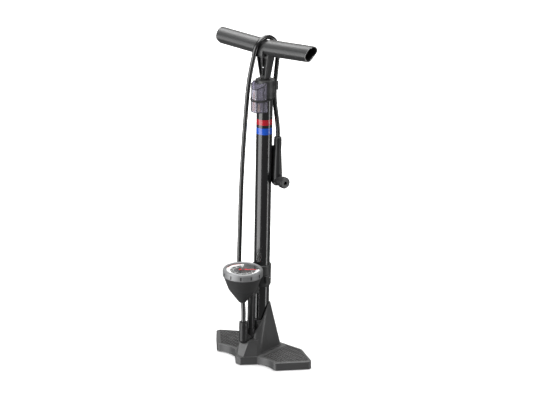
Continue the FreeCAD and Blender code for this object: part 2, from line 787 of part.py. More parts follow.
def clamp_screw_x():
    """Distance of the collar's screws from the barrel's axis."""
    return BARREL_R + LUG_OUT / 2 + 0.4


def clamp_screw_holes():
    """Holes for the collar's two screws, with room for their heads at the back."""
    z = (LUG_BOTTOM + LUG_TOP) / 2
    front = COLLAR_SPLIT_Y - LUG_DEPTH + THROUGH
    back = COLLAR_SPLIT_Y + LUG_DEPTH
    holes = []
    for x in (clamp_screw_x(), -clamp_screw_x()):
        holes.append(rod(CLAMP_SCREW_R, (x, front, z), (x, back + THROUGH, z)))
        holes.append(rod(CLAMP_SCREW_HEAD_R, (x, back, z), (x, back + 3 * CLAMP_SCREW_HEAD_T, z)))
    return holes


def arm():
    """Web from the collar to the gauge, with the cup that takes the riser's top."""
    web = box((-ARM_HALF_X, ARM_FRONT, ARM_BOTTOM), (ARM_HALF_X, -BARREL_R + 1, ARM_TOP))
    cup = upright(RISER_R + RISER_CUP_WALL, RISER_CUP_BOTTOM, ARM_TOP, 0, RISER_Y)
    web = fuse(web, cup)
    web = cut(web, upright(RISER_R, RISER_CUP_BOTTOM - THROUGH, RISER_TOP, 0, RISER_Y))
    web = cut(web, upright(PASSAGE_R, RISER_TOP - THROUGH, STEM_Z, 0, RISER_Y))
    web = cut(web, stem_leg())
    return cut(web, cone_outside(), upright(BARREL_R, 0, BARREL_TOP))


def gauge_bracket():
    """Front half of the collar and the arm that carries the gauge."""
    wide = 2 * (BARREL_R + LUG_OUT)
    rear = box((-wide, COLLAR_SPLIT_Y, 0), (wide, wide, BARREL_TOP))
    front = cut(collar(), rear)
    whole = fuse(front, arm())
    return cut(whole, cone_outside(), *clamp_screw_holes())


def bracket_clamp():
    """Rear half of the collar."""
    wide = 2 * (BARREL_R + LUG_OUT)
    front = box((-wide, -wide, 0), (wide, COLLAR_SPLIT_Y, BARREL_TOP))
    return cut(collar(), front, *clamp_screw_holes())


def bracket_screws():
    """Two screws that draw the collar's halves together."""
    z = (LUG_BOTTOM + LUG_TOP) / 2
    front = COLLAR_SPLIT_Y - LUG_DEPTH + THROUGH
    back = COLLAR_SPLIT_Y + LUG_DEPTH
    screws = []
    for x in (clamp_screw_x(), -clamp_screw_x()):
        shank = rod(CLAMP_SCREW_R, (x, front, z), (x, back, z))
        head = rod(CLAMP_SCREW_HEAD_R, (x, back, z), (x, back + CLAMP_SCREW_HEAD_T, z))
        socket = rod(CLAMP_SCREW_R / 2, (x, back + THROUGH, z), (x, back + 4 * THROUGH, z))
        screws.append(fuse(shank, head).cut(socket))
    return Part.makeCompound(screws)


# ---- Gauge ----
def cone_outside():
    """Funnel-shaped outside of the gauge's housing."""
    return revolve([
        (0, CONE_TIP_Z), (CONE_TIP_R, CONE_TIP_Z), (CONE_MID_R, CONE_MID_Z),
        (CONE_TOP_R, BEZEL_BOTTOM), (0, BEZEL_BOTTOM),
    ], 0, GAUGE_Y)


def dial_r():
    """Radius of the dial and of the glass."""
    return BEZEL_R - BEZEL_LIP + DIAL_MARGIN


def gauge_housing():
    """Hollow funnel that holds the gauge's works."""
    inside = revolve([
        (0, CONE_TIP_Z + 2 * CONE_WALL),
        (CONE_TIP_R - CONE_WALL, CONE_TIP_Z + 2 * CONE_WALL),
        (CONE_MID_R - CONE_WALL - 1, CONE_MID_Z),
        (CONE_TOP_R - 2 * CONE_WALL, BEZEL_BOTTOM),
        (CONE_TOP_R - 2 * CONE_WALL - 1, DIAL_Z + THROUGH),
        (0, DIAL_Z + THROUGH),
    ], 0, GAUGE_Y)
    spigot = upright(dial_r(), BEZEL_BOTTOM, DIAL_Z, 0, GAUGE_Y)
    return cut(fuse(cone_outside(), spigot), inside, stem_leg())


def stem_leg():
    """Round leg of the gauge's stem, which crosses the arm and the housing."""
    return rod(STEM_R, (0, RISER_Y, STEM_Z), (0, GAUGE_Y, STEM_Z))


def gauge_stem():
    """Brass stem that feeds the Bourdon tube and carries the works."""
    post = upright(STEM_POST_R, STEM_Z - STEM_POST_R, PLATE_LOW_Z, 0, GAUGE_Y)
    block_side = BOURDON_TUBE_R + 1
    beam = box((0, GAUGE_Y - 2 * block_side, BOURDON_Z - block_side),
               (BOURDON_R + block_side, GAUGE_Y, BOURDON_Z + block_side))
    whole = fuse(stem_leg(), post, beam)
    lead = rod(PASSAGE_R / 2, (0, RISER_Y, STEM_Z), (0, GAUGE_Y, STEM_Z))
    mouth = upright(PASSAGE_R, RISER_TOP, STEM_Z, 0, RISER_Y)
    return cut(whole, lead, mouth)


def bourdon_tube():
    """Curved tube that unrolls as the pressure rises."""
    tube = Part.makeTorus(BOURDON_R, BOURDON_TUBE_R, V(0, GAUGE_Y, BOURDON_Z), Z_AXIS,
                          0, 360, BOURDON_SWEEP)
    return tube.cut(upright(STEM_POST_R, 0, BEZEL_TOP, 0, GAUGE_Y))


def gauge_movement():
    """Two plates and their posts, which carry the needle's arbor."""
    low = ring(PLATE_R, ARBOR_R + RUN_GAP, PLATE_LOW_Z, PLATE_LOW_Z + PLATE_T, 0, GAUGE_Y)
    high = ring(PLATE_R, ARBOR_R + RUN_GAP, PLATE_HIGH_Z, PLATE_HIGH_Z + PLATE_T, 0, GAUGE_Y)
    works = low.fuse(high)
    for i in range(3):
        angle = math.radians(30 + 120 * i)
        x = (PLATE_R - 2 * POST_R) * math.cos(angle)
        y = GAUGE_Y + (PLATE_R - 2 * POST_R) * math.sin(angle)
        works = works.fuse(upright(POST_R, PLATE_LOW_Z, DIAL_Z, x, y))
    return works.removeSplitter()


def gauge_dial():
    """Flat dial under the glass."""
    return ring(dial_r(), ARBOR_R + FREE_GAP, DIAL_Z, DIAL_Z + DIAL_T, 0, GAUGE_Y)


def gauge_needle():
    """Needle, its hub and the arbor it turns on."""
    level = DIAL_Z + DIAL_T + 2 * FREE_GAP
    arbor = upright(ARBOR_R, PLATE_LOW_Z + FREE_GAP, level + NEEDLE_HUB_T, 0, GAUGE_Y)
    hub = upright(NEEDLE_HUB_R, level, level + NEEDLE_HUB_T, 0, GAUGE_Y)
    tail, root, tip = NEEDLE_HALF_WIDTHS
    outline = [(-NEEDLE_TAIL, -tail), (-NEEDLE_TAIL, tail), (0, root), (NEEDLE_LENGTH, tip),
               (NEEDLE_LENGTH, -tip), (0, -root)]
    low, high = NEEDLE_BLADE
    pointer = prism(outline, level + low, level + high)
    pointer.rotate(V(0, 0, 0), Z_AXIS, NEEDLE_REST_DEG)
    return fuse(arbor, hub, pointer.translated(V(0, GAUGE_Y, 0)))


def gauge_lens():
    """Clear disc over the dial."""
    top = BEZEL_TOP - GLASS_DROP
    return upright(dial_r(), top - GLASS_T, top, 0, GAUGE_Y)


def gauge_bezel():
    """Ring that holds the glass and the dial on the housing."""
    lip = BEZEL_R - BEZEL_LIP
    glass_top = BEZEL_TOP - GLASS_DROP
    glass_bottom = glass_top - GLASS_T
    bevel = BEZEL_ROUND
    return revolve([
        (dial_r(), BEZEL_BOTTOM), (BEZEL_R - bevel, BEZEL_BOTTOM),
        (BEZEL_R, BEZEL_BOTTOM + bevel), (BEZEL_R, BEZEL_TOP - 2 * bevel),
        (BEZEL_R - bevel, BEZEL_TOP), (lip + bevel, BEZEL_TOP),
        (lip, glass_top), (dial_r(), glass_top), (dial_r(), glass_bottom),
        (lip, glass_bottom), (lip, DIAL_Z + DIAL_T), (dial_r(), DIAL_Z + DIAL_T),
    ], 0, GAUGE_Y)


# ---- Cap, bush and wiper ----
def barrel_cap():
    """Cap on the barrel's top, which holds the rod's bush and wiper."""
    cap = upright(CAP_R, CAP_BOTTOM, CAP_TOP)
    cap = cap.makeFillet(CAP_ROUND, edges_at(cap, CAP_TOP))
    return cut(
        cap,
        upright(BARREL_R, CAP_BOTTOM - THROUGH, BARREL_TOP),
        upright(BUSH_NECK_R, BARREL_TOP - THROUGH, BUSH_TOP + WIPER_T),
        upright(ROD_R + 4 * FREE_GAP, BUSH_TOP, CAP_TOP + THROUGH),
    )


def cap_bush():
    """Plain bearing that guides the piston rod."""
    flange = ring(BARREL_BORE, ROD_R + RUN_GAP, BARREL_TOP - BUSH_FLANGE_T, BARREL_TOP)
    neck = ring(BUSH_NECK_R, ROD_R + RUN_GAP, BARREL_TOP, BUSH_TOP)
    return fuse(flange, neck)


def cap_wiper():
    """Ring that keeps dirt off the rod."""
    return ring(BUSH_NECK_R, ROD_R + RUN_GAP, BUSH_TOP, BUSH_TOP + WIPER_T)


def hose_clip():
    """Open clip at the back of the cap that the hose snaps into."""
    inner = HOSE_R + FREE_GAP
    outer = inner + CLIP_WALL
    away = V(CLIP_X, CLIP_Y, 0)
    away.normalize()
    reach = math.hypot(CLIP_X, CLIP_Y)
    claw = upright(outer, CLIP_BOTTOM, CLIP_TOP, CLIP_X, CLIP_Y)
    foot = box((0, -inner, CLIP_BOTTOM), (reach, inner, CLIP_TOP))
    foot.rotate(V(0, 0, 0), Z_AXIS, math.degrees(math.atan2(away.y, away.x)))
    mouth = box((reach, -CLIP_MOUTH / 2, CLIP_BOTTOM - THROUGH),
                (reach + 2 * outer, CLIP_MOUTH / 2, CLIP_TOP + THROUGH))
    mouth.rotate(V(0, 0, 0), Z_AXIS, math.degrees(math.atan2(away.y, away.x)))
    hole = upright(inner, CLIP_BOTTOM - THROUGH, CLIP_TOP + THROUGH, CLIP_X, CLIP_Y)
    return cut(fuse(claw, foot), hole, mouth, upright(CAP_R, 0, CAP_TOP + THROUGH))


# ---- Accessory case ----
def case_block(inset):
    """Block with the case's outside shape, made smaller all round by an inset."""
    front = CASE_FRONT + inset
    back = CASE_BACK + inset
    bottom = CASE_BOTTOM + inset
    side = [
        V(0, front, bottom), V(0, front, CASE_TOP - inset),
        V(0, CASE_ROOF_BACK, CASE_TOP + CASE_ROOF_RISE - inset),
        V(0, back, CASE_TOP + CASE_ROOF_RISE - inset), V(0, back, bottom),
    ]
    half = CASE_HALF_X - inset
    face = Part.Face(Part.makePolygon(side + side[:1]))
    block = face.extrude(V(2 * half, 0, 0)).translated(V(-half, 0, 0))
    plan = [V(-half, back, 0)] + case_front_corners(-inset, 0) + [V(half, back, 0)]
    prism = Part.Face(Part.makePolygon(plan + plan[:1])).extrude(V(0, 0, CAP_TOP + CASE_HALF_X))
    return block.common(prism)


def case_front_corners(grow, z):
    """The four points of the case's slanted front, moved outwards by an amount."""
    x, y = CASE_HALF_X + grow, CASE_FRONT - grow
    slant = CASE_CORNER + (2 - math.sqrt(2)) * grow
    return [V(-x, y + slant, z), V(slant - x, y, z), V(x - slant, y, z), V(x, y + slant, z)]


def case_seat(extra):
    """Room for the cap and barrel behind the case, made larger by an amount."""
    cap = upright(CAP_R + CASE_GAP + extra, CAP_BOTTOM - CASE_GAP - extra, CAP_TOP + 2 * THROUGH)
    return fuse(cap, upright(BARREL_R + CASE_GAP + extra, 0, CAP_TOP))


def case_cover():
    """Clear cover with a sloped roof."""
    cover = case_block(0).cut(case_block(CASE_WALL))
    front = box((-CASE_HALF_X, CASE_FRONT, 0), (CASE_HALF_X, CASE_BACK + 2, CAP_TOP))
    return cut(cover.common(front), case_seat(CASE_WALL))


def case_tray():
    """Back wall of the case, curved to sit on the cap and barrel."""
    wall = case_block(CASE_WALL).cut(case_seat(0))
    shell = wall.common(case_seat(CASE_WALL))
    return max(shell.Solids, key=lambda solid: solid.Volume)


def case_contents():
    """Three fittings that stand side by side in the case."""
    y = -(CAP_R + CASE_GAP + CASE_WALL + FITTING_ROOM)
    floor = CASE_BOTTOM + CASE_WALL + CASE_GAP
    shoulder, tip = floor + BALL_HUB, floor + FITTING_LENGTH
    needle = fuse(upright(BALL_HUB_R, floor, shoulder, 0, y),
                  upright(BALL_NEEDLE_R, shoulder, tip, 0, y))
    needle = needle.cut(upright(BALL_NEEDLE_R / 2, floor - THROUGH, tip - 2 * THROUGH, 0, y))
    low, high, top = floor + BRASS_HEX, floor + BRASS_HEX + THROUGH, floor + BRASS_LENGTH
    brass = revolve([(BRASS_BORE_R, floor), (BRASS_R, floor), (BRASS_R, low), (BRASS_NECK_R, high),
                     (BRASS_NECK_R, top), (BRASS_BORE_R, top)], FITTING_PITCH, y)
    grip, waist = floor + TAPER_GRIP, floor + TAPER_WAIST
    taper = revolve([(TAPER_BORE_R, floor), (TAPER_R, floor), (TAPER_R, grip), (TAPER_WAIST_R, waist),
                     (TAPER_TIP_R, tip), (TAPER_BORE_R, tip)], -FITTING_PITCH, y)
    return needle, brass, taper


def band_loop(grow, bottom, top):
    """Solid inside a band stretched over the case's front and the barrel's back."""
    r = BARREL_R + CASE_GAP / 2 + grow
    right, back, left = V(r, 0, bottom), V(0, r, bottom), V(-r, 0, bottom)
    front = [left] + case_front_corners(grow, bottom) + [right]
    edges = [Part.makeLine(a, b) for a, b in zip(front, front[1:])]
    edges.append(Part.Arc(right, back, left).toShape())
    return Part.Face(Part.Wire(edges)).extrude(V(0, 0, top - bottom))


def case_band():
    """Rubber band that straps the case to the barrel."""
    bottom = BAND_TOP - BAND_HEIGHT
    outside = band_loop(BAND_T, bottom, BAND_TOP)
    return outside.cut(band_loop(0, bottom - THROUGH, BAND_TOP + THROUGH))


# ---- Piston and rod ----
def piston_rod():
    """Hollow rod from the piston to the handle."""
    bottom = PISTON_BOTTOM + PISTON_T
    tube = ring(ROD_R, ROD_R - ROD_WALL, bottom, ROD_TOP)
    plug = ring(ROD_R - ROD_WALL, PISTON_SCREW_R, bottom, bottom + PISTON_SCREW_LENGTH)
    pin = rod(ROD_PIN_R, (0, -2 * ROD_R, ROD_PIN_Z), (0, 2 * ROD_R, ROD_PIN_Z))
    return fuse(tube, plug).cut(pin)


def piston_head():
    """Piston with a groove for its seal."""
    top = PISTON_BOTTOM + PISTON_T
    body = ring(BARREL_BORE - FREE_GAP, PISTON_SCREW_R, PISTON_BOTTOM, top)
    middle = PISTON_BOTTOM + PISTON_T / 2
    slot = ring(BARREL_R, BARREL_BORE - SEAL_DEPTH, middle - SEAL_T / 2, middle + SEAL_T / 2)
    return body.cut(slot)


def piston_seal():
    """Rubber seal that runs in the barrel."""
    middle = PISTON_BOTTOM + PISTON_T / 2
    return ring(BARREL_BORE - RUN_GAP, BARREL_BORE - SEAL_DEPTH,
                middle - SEAL_T / 2, middle + SEAL_T / 2)


def piston_washer():
    """Washer under the piston's screw."""
    return ring(WASHER_R, PISTON_SCREW_R, PISTON_BOTTOM - WASHER_T, PISTON_BOTTOM)


def piston_screw():
    """Screw that holds the piston on the rod."""
    seat = PISTON_BOTTOM - WASHER_T
    head = upright(PISTON_SCREW_HEAD_R, seat - PISTON_SCREW_HEAD_T, seat)
    top = PISTON_BOTTOM + PISTON_T + PISTON_SCREW_LENGTH - 2 * THROUGH
    slot = upright(PISTON_SCREW_R, seat - PISTON_SCREW_HEAD_T - THROUGH, seat - 2 * THROUGH)
    return fuse(head, upright(PISTON_SCREW_R, seat, top)).cut(slot)


def rod_bumper():
    """Rubber bumper that ends the upward stroke softly."""
    bottom = PISTON_BOTTOM + PISTON_T
    return ring(BUMPER_R, ROD_R, bottom, bottom + BUMPER_T)


# ---- Handle ----
def leaf(x, centre, shrink):
    """Leaf-shaped section of the bar in the plane at x."""
    half, up, down = LEAF_HALF_Y - shrink, LEAF_UP - shrink, LEAF_DOWN - shrink
    points = [
        (-half, 0.08 * up), (-0.62 * half, 0.70 * up), (0.12 * half, up), (0.70 * half, 0.72 * up),
        (half, 0.20 * up), (0.62 * half, -0.48 * down), (-0.12 * half, -down),
        (-0.72 * half, -0.66 * down),
    ]
    curve = Part.BSplineCurve()
    curve.interpolate([V(x, y, centre + z) for y, z in points], PeriodicFlag=True)
    return Part.Wire([curve.toShape()])


def grip_end(shrink, start, stop):
    """Right half of the bar, or its hollow, between two distances from the middle."""
    def height(x):
        return HANDLE_Z + HANDLE_RISE * (x / HANDLE_HALF)
    return Part.makeLoft([leaf(start, height(start), shrink), leaf(stop, height(stop), shrink)],
                         True, True)


def end_trim():
    """Tool that trims the right end to its slant."""
    reach = HANDLE_HALF + 2 * LEAF_HALF_Y
    middle = HANDLE_Z + HANDLE_RISE
    tall = 2 * LEAF_UP
    lean = HANDLE_SLANT * tall / LEAF_UP
    side = [
        V(HANDLE_HALF - lean, 0, middle - tall), V(HANDLE_HALF + lean, 0, middle + tall),
        V(reach, 0, middle + tall), V(reach, 0, middle - tall),
    ]
    face = Part.Face(Part.makePolygon(side + side[:1]))
    return face.extrude(V(0, 4 * LEAF_HALF_Y, 0)).translated(V(0, -2 * LEAF_HALF_Y, 0))


def grip():
    """Right half of the bar, hollow from its open end."""
    far = HANDLE_HALF + LEAF_UP
    half = grip_end(0, 0, far).cut(grip_end(HANDLE_WALL, HANDLE_SOLID, far + THROUGH))
    return half.cut(end_trim())


def yoke():
    """Stem that joins the bar to the rod, hollowed by pockets at front and back."""
    bottom = CAP_TOP + FREE_GAP + CUSHION_T
    low = rounded_rectangle(YOKE_BOTTOM_HALF, YOKE_BOTTOM_HALF, YOKE_ROUND, bottom)
    high = rounded_rectangle(YOKE_TOP_X, YOKE_TOP_Y, YOKE_ROUND, YOKE_TOP_Z)
    stem = Part.makeLoft([low, high], True, True)
    foot = YOKE_BOTTOM_HALF - YOKE_SKIN
    head = YOKE_TOP_X - YOKE_SKIN
    low_z, high_z = bottom + 2 * YOKE_ROUND, HANDLE_Z - LEAF_DOWN - YOKE_ROUND
    for side in (1, -1):
        face_y = side * (YOKE_BOTTOM_HALF - YOKE_POCKET_DEPTH)
        for across in (1, -1):
            outline = [
                V(across * YOKE_POCKET_RIB, face_y, low_z), V(across * foot, face_y, low_z),
                V(across * head * 0.8, face_y, high_z), V(across * YOKE_POCKET_RIB, face_y, high_z),
            ]
            face = Part.Face(Part.makePolygon(outline + outline[:1]))
            stem = stem.cut(face.extrude(V(0, side * 2 * YOKE_TOP_Y, 0)))
    return stem


def saddle_hump():
    """Round hump across the middle of the bar that the hose lies on."""
    disc = rod(SADDLE_R, (-SADDLE_HALF, SADDLE_Y, SADDLE_Z), (SADDLE_HALF, SADDLE_Y, SADDLE_Z))
    reach = 2 * SADDLE_R
    keep = box((-SADDLE_HALF, -reach, HANDLE_Z - LEAF_DOWN), (SADDLE_HALF, reach, HANDLE_Z + reach))
    return disc.common(keep)


def saddle_channel():
    """Everything around the hump that the hose needs clear."""
    reach = 3 * LEAF_HALF_Y
    bottom = HANDLE_Z - LEAF_DOWN
    room = box((-SADDLE_HALF, -reach, bottom), (SADDLE_HALF, reach, HANDLE_Z + reach))
    return room.cut(saddle_hump())


def handle_bar():
    """One-piece moulded handle: two grips, the saddle and the stem."""
    half = grip()
    whole = fuse(half, mirrored(half), yoke()).cut(saddle_channel())
    return cut(
        whole.fuse(saddle_hump()),
        upright(ROD_R, CAP_TOP, ROD_TOP),
        rod(ROD_PIN_R, (0, -2 * YOKE_TOP_Y, ROD_PIN_Z), (0, 2 * YOKE_TOP_Y, ROD_PIN_Z)),
    )


def rod_pin():
    """Cross pin that locks the rod in the handle."""
    half = YOKE_BOTTOM_HALF - YOKE_POCKET_DEPTH + YOKE_SKIN / 2
    return rod(ROD_PIN_R, (0, -half, ROD_PIN_Z), (0, half, ROD_PIN_Z))


def handle_cushion():
    """Rubber ring that softens the end of the downward stroke."""
    bottom = CAP_TOP + FREE_GAP
    return ring(YOKE_BOTTOM_HALF, ROD_R, bottom, bottom + CUSHION_T)


# ---- Pump head, drawn with its port along +X and its axis on the Z axis ----
def place_head(shape):
    """Turn and move a piece of the head to where it hangs."""
    shape.rotate(V(0, 0, 0), Z_AXIS, HEAD_TURN)
    return shape.translated(V(HEAD_X, HEAD_Y, 0))


def along_port(radius, start, end):
    """Round bar on the port's axis."""
    return rod(radius, (start, 0, PORT_Z), (end, 0, PORT_Z))


def across_pivot(radius, start, end):
    """Round bar on the lever's pivot."""
    return rod(radius, (PIVOT_X, start, PORT_Z), (PIVOT_X, end, PORT_Z))


def head_body():
    """Housing of the pump head."""
    shell = revolve([
        (0, HEAD_BOTTOM), (HEAD_LOW_R - HEAD_ROUND, HEAD_BOTTOM),
        (HEAD_LOW_R, HEAD_BOTTOM + HEAD_ROUND), (HEAD_LOW_R, PORT_Z + PORT_NECK_R + HEAD_ROUND),
        (HEAD_TOP_R, HEAD_TOP), (0, HEAD_TOP),
    ])
    boss = across_pivot(PIVOT_BOSS_R, -PIVOT_BOSS_HALF, PIVOT_BOSS_HALF)
    bridge = box((PIVOT_X, -PIVOT_BOSS_HALF, PORT_Z - PIVOT_BOSS_R),
                 (0, PIVOT_BOSS_HALF, PORT_Z + PIVOT_BOSS_R))
    body = fuse(shell, along_port(PORT_NECK_R, 0, PORT_NECK_END),
                along_port(PORT_TUBE_R, 0, PORT_FACE - PORT_LIP), boss, bridge)
    cheek = LEVER_CHEEK_R + FREE_GAP
    inner = PIVOT_BOSS_HALF
    outer = HEAD_LOW_R + THROUGH
    flange_back = GROMMET_START - PLUNGER_FLANGE_T
    return cut(
        body,
        across_pivot(cheek, inner, outer), across_pivot(cheek, -outer, -inner),
        across_pivot(LEVER_PIN_R, -outer, outer),
        along_port(PLUNGER_R + RUN_GAP, PLUNGER_BACK - FREE_GAP, PORT_FACE),
        along_port(PORT_BORE_R, flange_back - FREE_GAP, PORT_FACE),
        upright(PASSAGE_R, PORT_Z + PLUNGER_R + 1, HEAD_TOP + THROUGH, 0, 0),
    )


def head_nut():
    """Nut that clamps the hose in the head's top."""
    nut = upright(HEAD_NUT_R, HEAD_TOP, HEAD_NUT_TOP)
    nut = nut.makeChamfer(THROUGH, edges_at(nut, HEAD_NUT_TOP))
    return nut.cut(upright(HOSE_BORE_R, HEAD_TOP - THROUGH, HEAD_NUT_TOP + THROUGH))


def head_collar():
    """Screwed collar that holds the grommet in the port."""
    body = along_port(PORT_COLLAR_R, PORT_NECK_END, PORT_FACE)
    rim = [e for e in body.Edges if e.BoundBox.XMin > PORT_FACE - 0.01]
    body = body.makeFillet(CAP_ROUND, rim)
    return cut(body, along_port(PORT_TUBE_R, PORT_NECK_END - 1, PORT_FACE - PORT_LIP),
               along_port(PORT_HOLE_R, PORT_NECK_END, PORT_FACE + THROUGH))


def head_grommet():
    """Rubber grommet that seals around a tyre valve."""
    body = along_port(PORT_BORE_R, GROMMET_START, PORT_FACE - PORT_LIP)
    return body.cut(along_port(PORT_HOLE_R, GROMMET_START - 1, PORT_FACE))


def head_plunger():
    """Plunger that the lever's cam drives against the grommet."""
    stem = along_port(PLUNGER_R, PLUNGER_BACK, GROMMET_START)
    flange = along_port(PORT_BORE_R - RUN_GAP, GROMMET_START - PLUNGER_FLANGE_T, GROMMET_START)
    return fuse(stem, flange).cut(along_port(PASSAGE_R / 2, 0, PORT_FACE))


def head_lever():
    """Locking lever that lies along the back of the head."""
    inner = PIVOT_BOSS_HALF + FREE_GAP
    outer = inner + LEVER_CHEEK_T
    back_x = PIVOT_X - LEVER_BACK
    start = PORT_Z + LEVER_START
    plate_side = [V(back_x, 0, start), V(back_x + LEVER_T, 0, start),
                  V(back_x + LEVER_T, 0, LEVER_TOP - LEVER_TIP_DROP),
                  V(back_x + LEVER_TIP_DROP, 0, LEVER_TOP), V(back_x, 0, LEVER_TOP)]
    face = Part.Face(Part.makePolygon(plate_side + plate_side[:1]))
    plate = face.extrude(V(0, 2 * outer, 0)).translated(V(0, -outer, 0))
    web_side = [V(back_x, 0, PORT_Z), V(PIVOT_X + LEVER_PIN_R, 0, PORT_Z),
                V(back_x + LEVER_T, 0, start + 4 * LEVER_T), V(back_x, 0, start + 4 * LEVER_T)]
    web_face = Part.Face(Part.makePolygon(web_side + web_side[:1]))
    web = web_face.extrude(V(0, LEVER_CHEEK_T, 0))
    right = fuse(across_pivot(LEVER_CHEEK_R, inner, outer), web.translated(V(0, inner, 0)))
    left = fuse(across_pivot(LEVER_CHEEK_R, -outer, -inner), web.translated(V(0, -outer, 0)))
    lever = fuse(plate, right, left)
    return lever.cut(across_pivot(LEVER_PIN_R + RUN_GAP, -2 * outer, 2 * outer))


def lever_pin():
    """Pin that the lever turns on."""
    half = PIVOT_BOSS_HALF + FREE_GAP + LEVER_CHEEK_T
    return across_pivot(LEVER_PIN_R, -half, half)


# ---- Hose ----
def hose_path():
    """Straight runs joined by arcs that touch both of the runs they join."""
    points = [V(*p) for p in HOSE_ROUTE]
    edges, radii = [], []
    start = points[0]
    for before, corner, after in zip(points, points[1:], points[2:]):
        back, ahead = before - corner, after - corner
        shorter = min(back.Length, ahead.Length)
        half_turn = (math.pi - back.getAngle(ahead)) / 2
        trim = 0.45 * shorter
        radius = trim / math.tan(half_turn)
        radii.append(radius)
        back.normalize()
        ahead.normalize()
        first, last = corner + back * trim, corner + ahead * trim
        inward = back + ahead
        inward.normalize()
        middle = corner + inward * (radius / math.cos(half_turn) - radius)
        edges.append(Part.LineSegment(start, first).toShape())
        edges.append(Part.Arc(first, middle, last).toShape())
        start = last
    edges.append(Part.LineSegment(start, points[-1]).toShape())
    print("hose arc radii:", [round(r) for r in radii])
    return Part.Wire(edges)


def hose():
    """Hose as a plain round tube, solid inside."""
    path = hose_path()
    first = path.Edges[0]
    heading = first.tangentAt(first.FirstParameter)
    circle = Part.Circle(V(*HOSE_ROUTE[0]), heading, HOSE_R)
    tube = path.makePipeShell([Part.Wire([circle.toShape()])], True, False, 2)
    expected = math.pi * HOSE_R ** 2 * path.Length
    print("hose length %.0f, volume over section times length %.4f"
          % (path.Length, tube.Volume / expected))
    return tube


def parts():
    """Every piece by its node name."""
    pad = tread_pad()
    needle, brass, taper = case_contents()
    return {
        "foot_base": foot_base(),
        "tread_pad_right": pad,
        "tread_pad_left": mirrored(pad),
        "rubber_feet": rubber_feet(),
        "barrel": barrel(),
        "barrel_plug": barrel_plug(),
        "barrel_plug_ring": plug_ring(),
        "barrel_plug_screws": plug_screws(),
        "hose_elbow": hose_elbow(),
        "hose_elbow_ring": elbow_ring(),
        "hose_nipple": hose_nipple(),
        "hose_gland": hose_gland(),
        "check_valve_seat": check_valve_seat(),
        "check_valve_poppet": check_valve_poppet(),
        "check_valve_spring": check_valve_spring(),
        "riser_tube": riser_tube(),
        "riser_rings": riser_rings(),
        "gauge_bracket": gauge_bracket(),
        "bracket_clamp": bracket_clamp(),
        "bracket_screws": bracket_screws(),
        "gauge_housing": gauge_housing(),
        "gauge_stem": gauge_stem(),
        "bourdon_tube": bourdon_tube(),
        "gauge_movement": gauge_movement(),
        "gauge_dial": gauge_dial(),
        "gauge_needle": gauge_needle(),
        "gauge_lens": gauge_lens(),
        "gauge_bezel": gauge_bezel(),
        "barrel_cap": barrel_cap(),
        "cap_bush": cap_bush(),
        "cap_wiper": cap_wiper(),
        "hose_clip": hose_clip(),
        "case_cover": case_cover(),
        "case_tray": case_tray(),
        "case_band": case_band(),
        "ball_needle": needle,
        "brass_adapter": brass,
        "tapered_adapter": taper,
        "piston_rod": piston_rod(),
        "piston_head": piston_head(),
        "piston_seal": piston_seal(),
        "piston_washer": piston_washer(),
        "piston_screw": piston_screw(),
        "rod_bumper": rod_bumper(),
        "handle_bar": handle_bar(),
        "rod_pin": rod_pin(),
        "handle_cushion": handle_cushion(),
        "head_body": place_head(head_body()),
        "head_nut": place_head(head_nut()),
        "head_collar": place_head(head_collar()),
        "head_grommet": place_head(head_grommet()),
        "head_plunger": place_head(head_plunger()),
        "head_lever": place_head(head_lever()),
        "lever_pin": place_head(lever_pin()),
        "hose": hose(),
    }


def main():
    """Build every piece and write it to its own file."""
    os.makedirs("parts", exist_ok=True)
    for name, shape in parts().items():
        shape.exportStep("parts/" + name + ".step")
        print(name, len(shape.Solids), "solid(s), valid:", shape.isValid(),
              "volume:", round(shape.Volume))


main()
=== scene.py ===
# %% [markdown]
# # A floor pump for bicycle tyres
# This lesson dresses a floor pump that is already measured and jointed.  The
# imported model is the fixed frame: its pieces stay where they are, and each step
# adds a finish or a detailed piece that rides on one of its bodies.
# All lengths are metres.  The floor is z = 0 and the barrel stands on the origin.

import math

import bmesh
import bpy
from mathutils import Matrix, Vector


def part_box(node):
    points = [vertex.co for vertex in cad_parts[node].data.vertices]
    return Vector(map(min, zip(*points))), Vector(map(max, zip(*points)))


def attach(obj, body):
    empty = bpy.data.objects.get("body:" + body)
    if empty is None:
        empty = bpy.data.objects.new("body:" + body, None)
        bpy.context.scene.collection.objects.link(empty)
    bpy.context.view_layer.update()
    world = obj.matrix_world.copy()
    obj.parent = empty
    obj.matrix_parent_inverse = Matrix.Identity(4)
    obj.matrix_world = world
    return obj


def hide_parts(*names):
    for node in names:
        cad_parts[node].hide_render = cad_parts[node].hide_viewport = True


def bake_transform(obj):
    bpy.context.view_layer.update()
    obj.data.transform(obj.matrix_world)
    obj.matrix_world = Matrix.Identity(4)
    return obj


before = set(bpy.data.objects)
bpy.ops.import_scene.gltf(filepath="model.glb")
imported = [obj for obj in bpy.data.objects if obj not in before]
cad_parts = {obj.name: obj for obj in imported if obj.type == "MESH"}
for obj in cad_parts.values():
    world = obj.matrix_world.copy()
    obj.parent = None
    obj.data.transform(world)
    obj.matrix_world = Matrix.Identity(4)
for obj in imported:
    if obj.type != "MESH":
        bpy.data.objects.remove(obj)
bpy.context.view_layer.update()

# %% [markdown]
# ## The camera
# A long lens from far away keeps the tall barrel from tapering.  The camera is
# placed by its direction from a point on the pump's axis, which is easier to
# reason about than a bare location and three angles.

# %% Camera
AZIMUTH, ELEVATION, ROLL = 38.92, 18.83, 1.09   # degrees
DISTANCE = 4.024
AIM = Vector((0.0058, 0.0046, 0.3516))
FOCAL_MM = 129.58


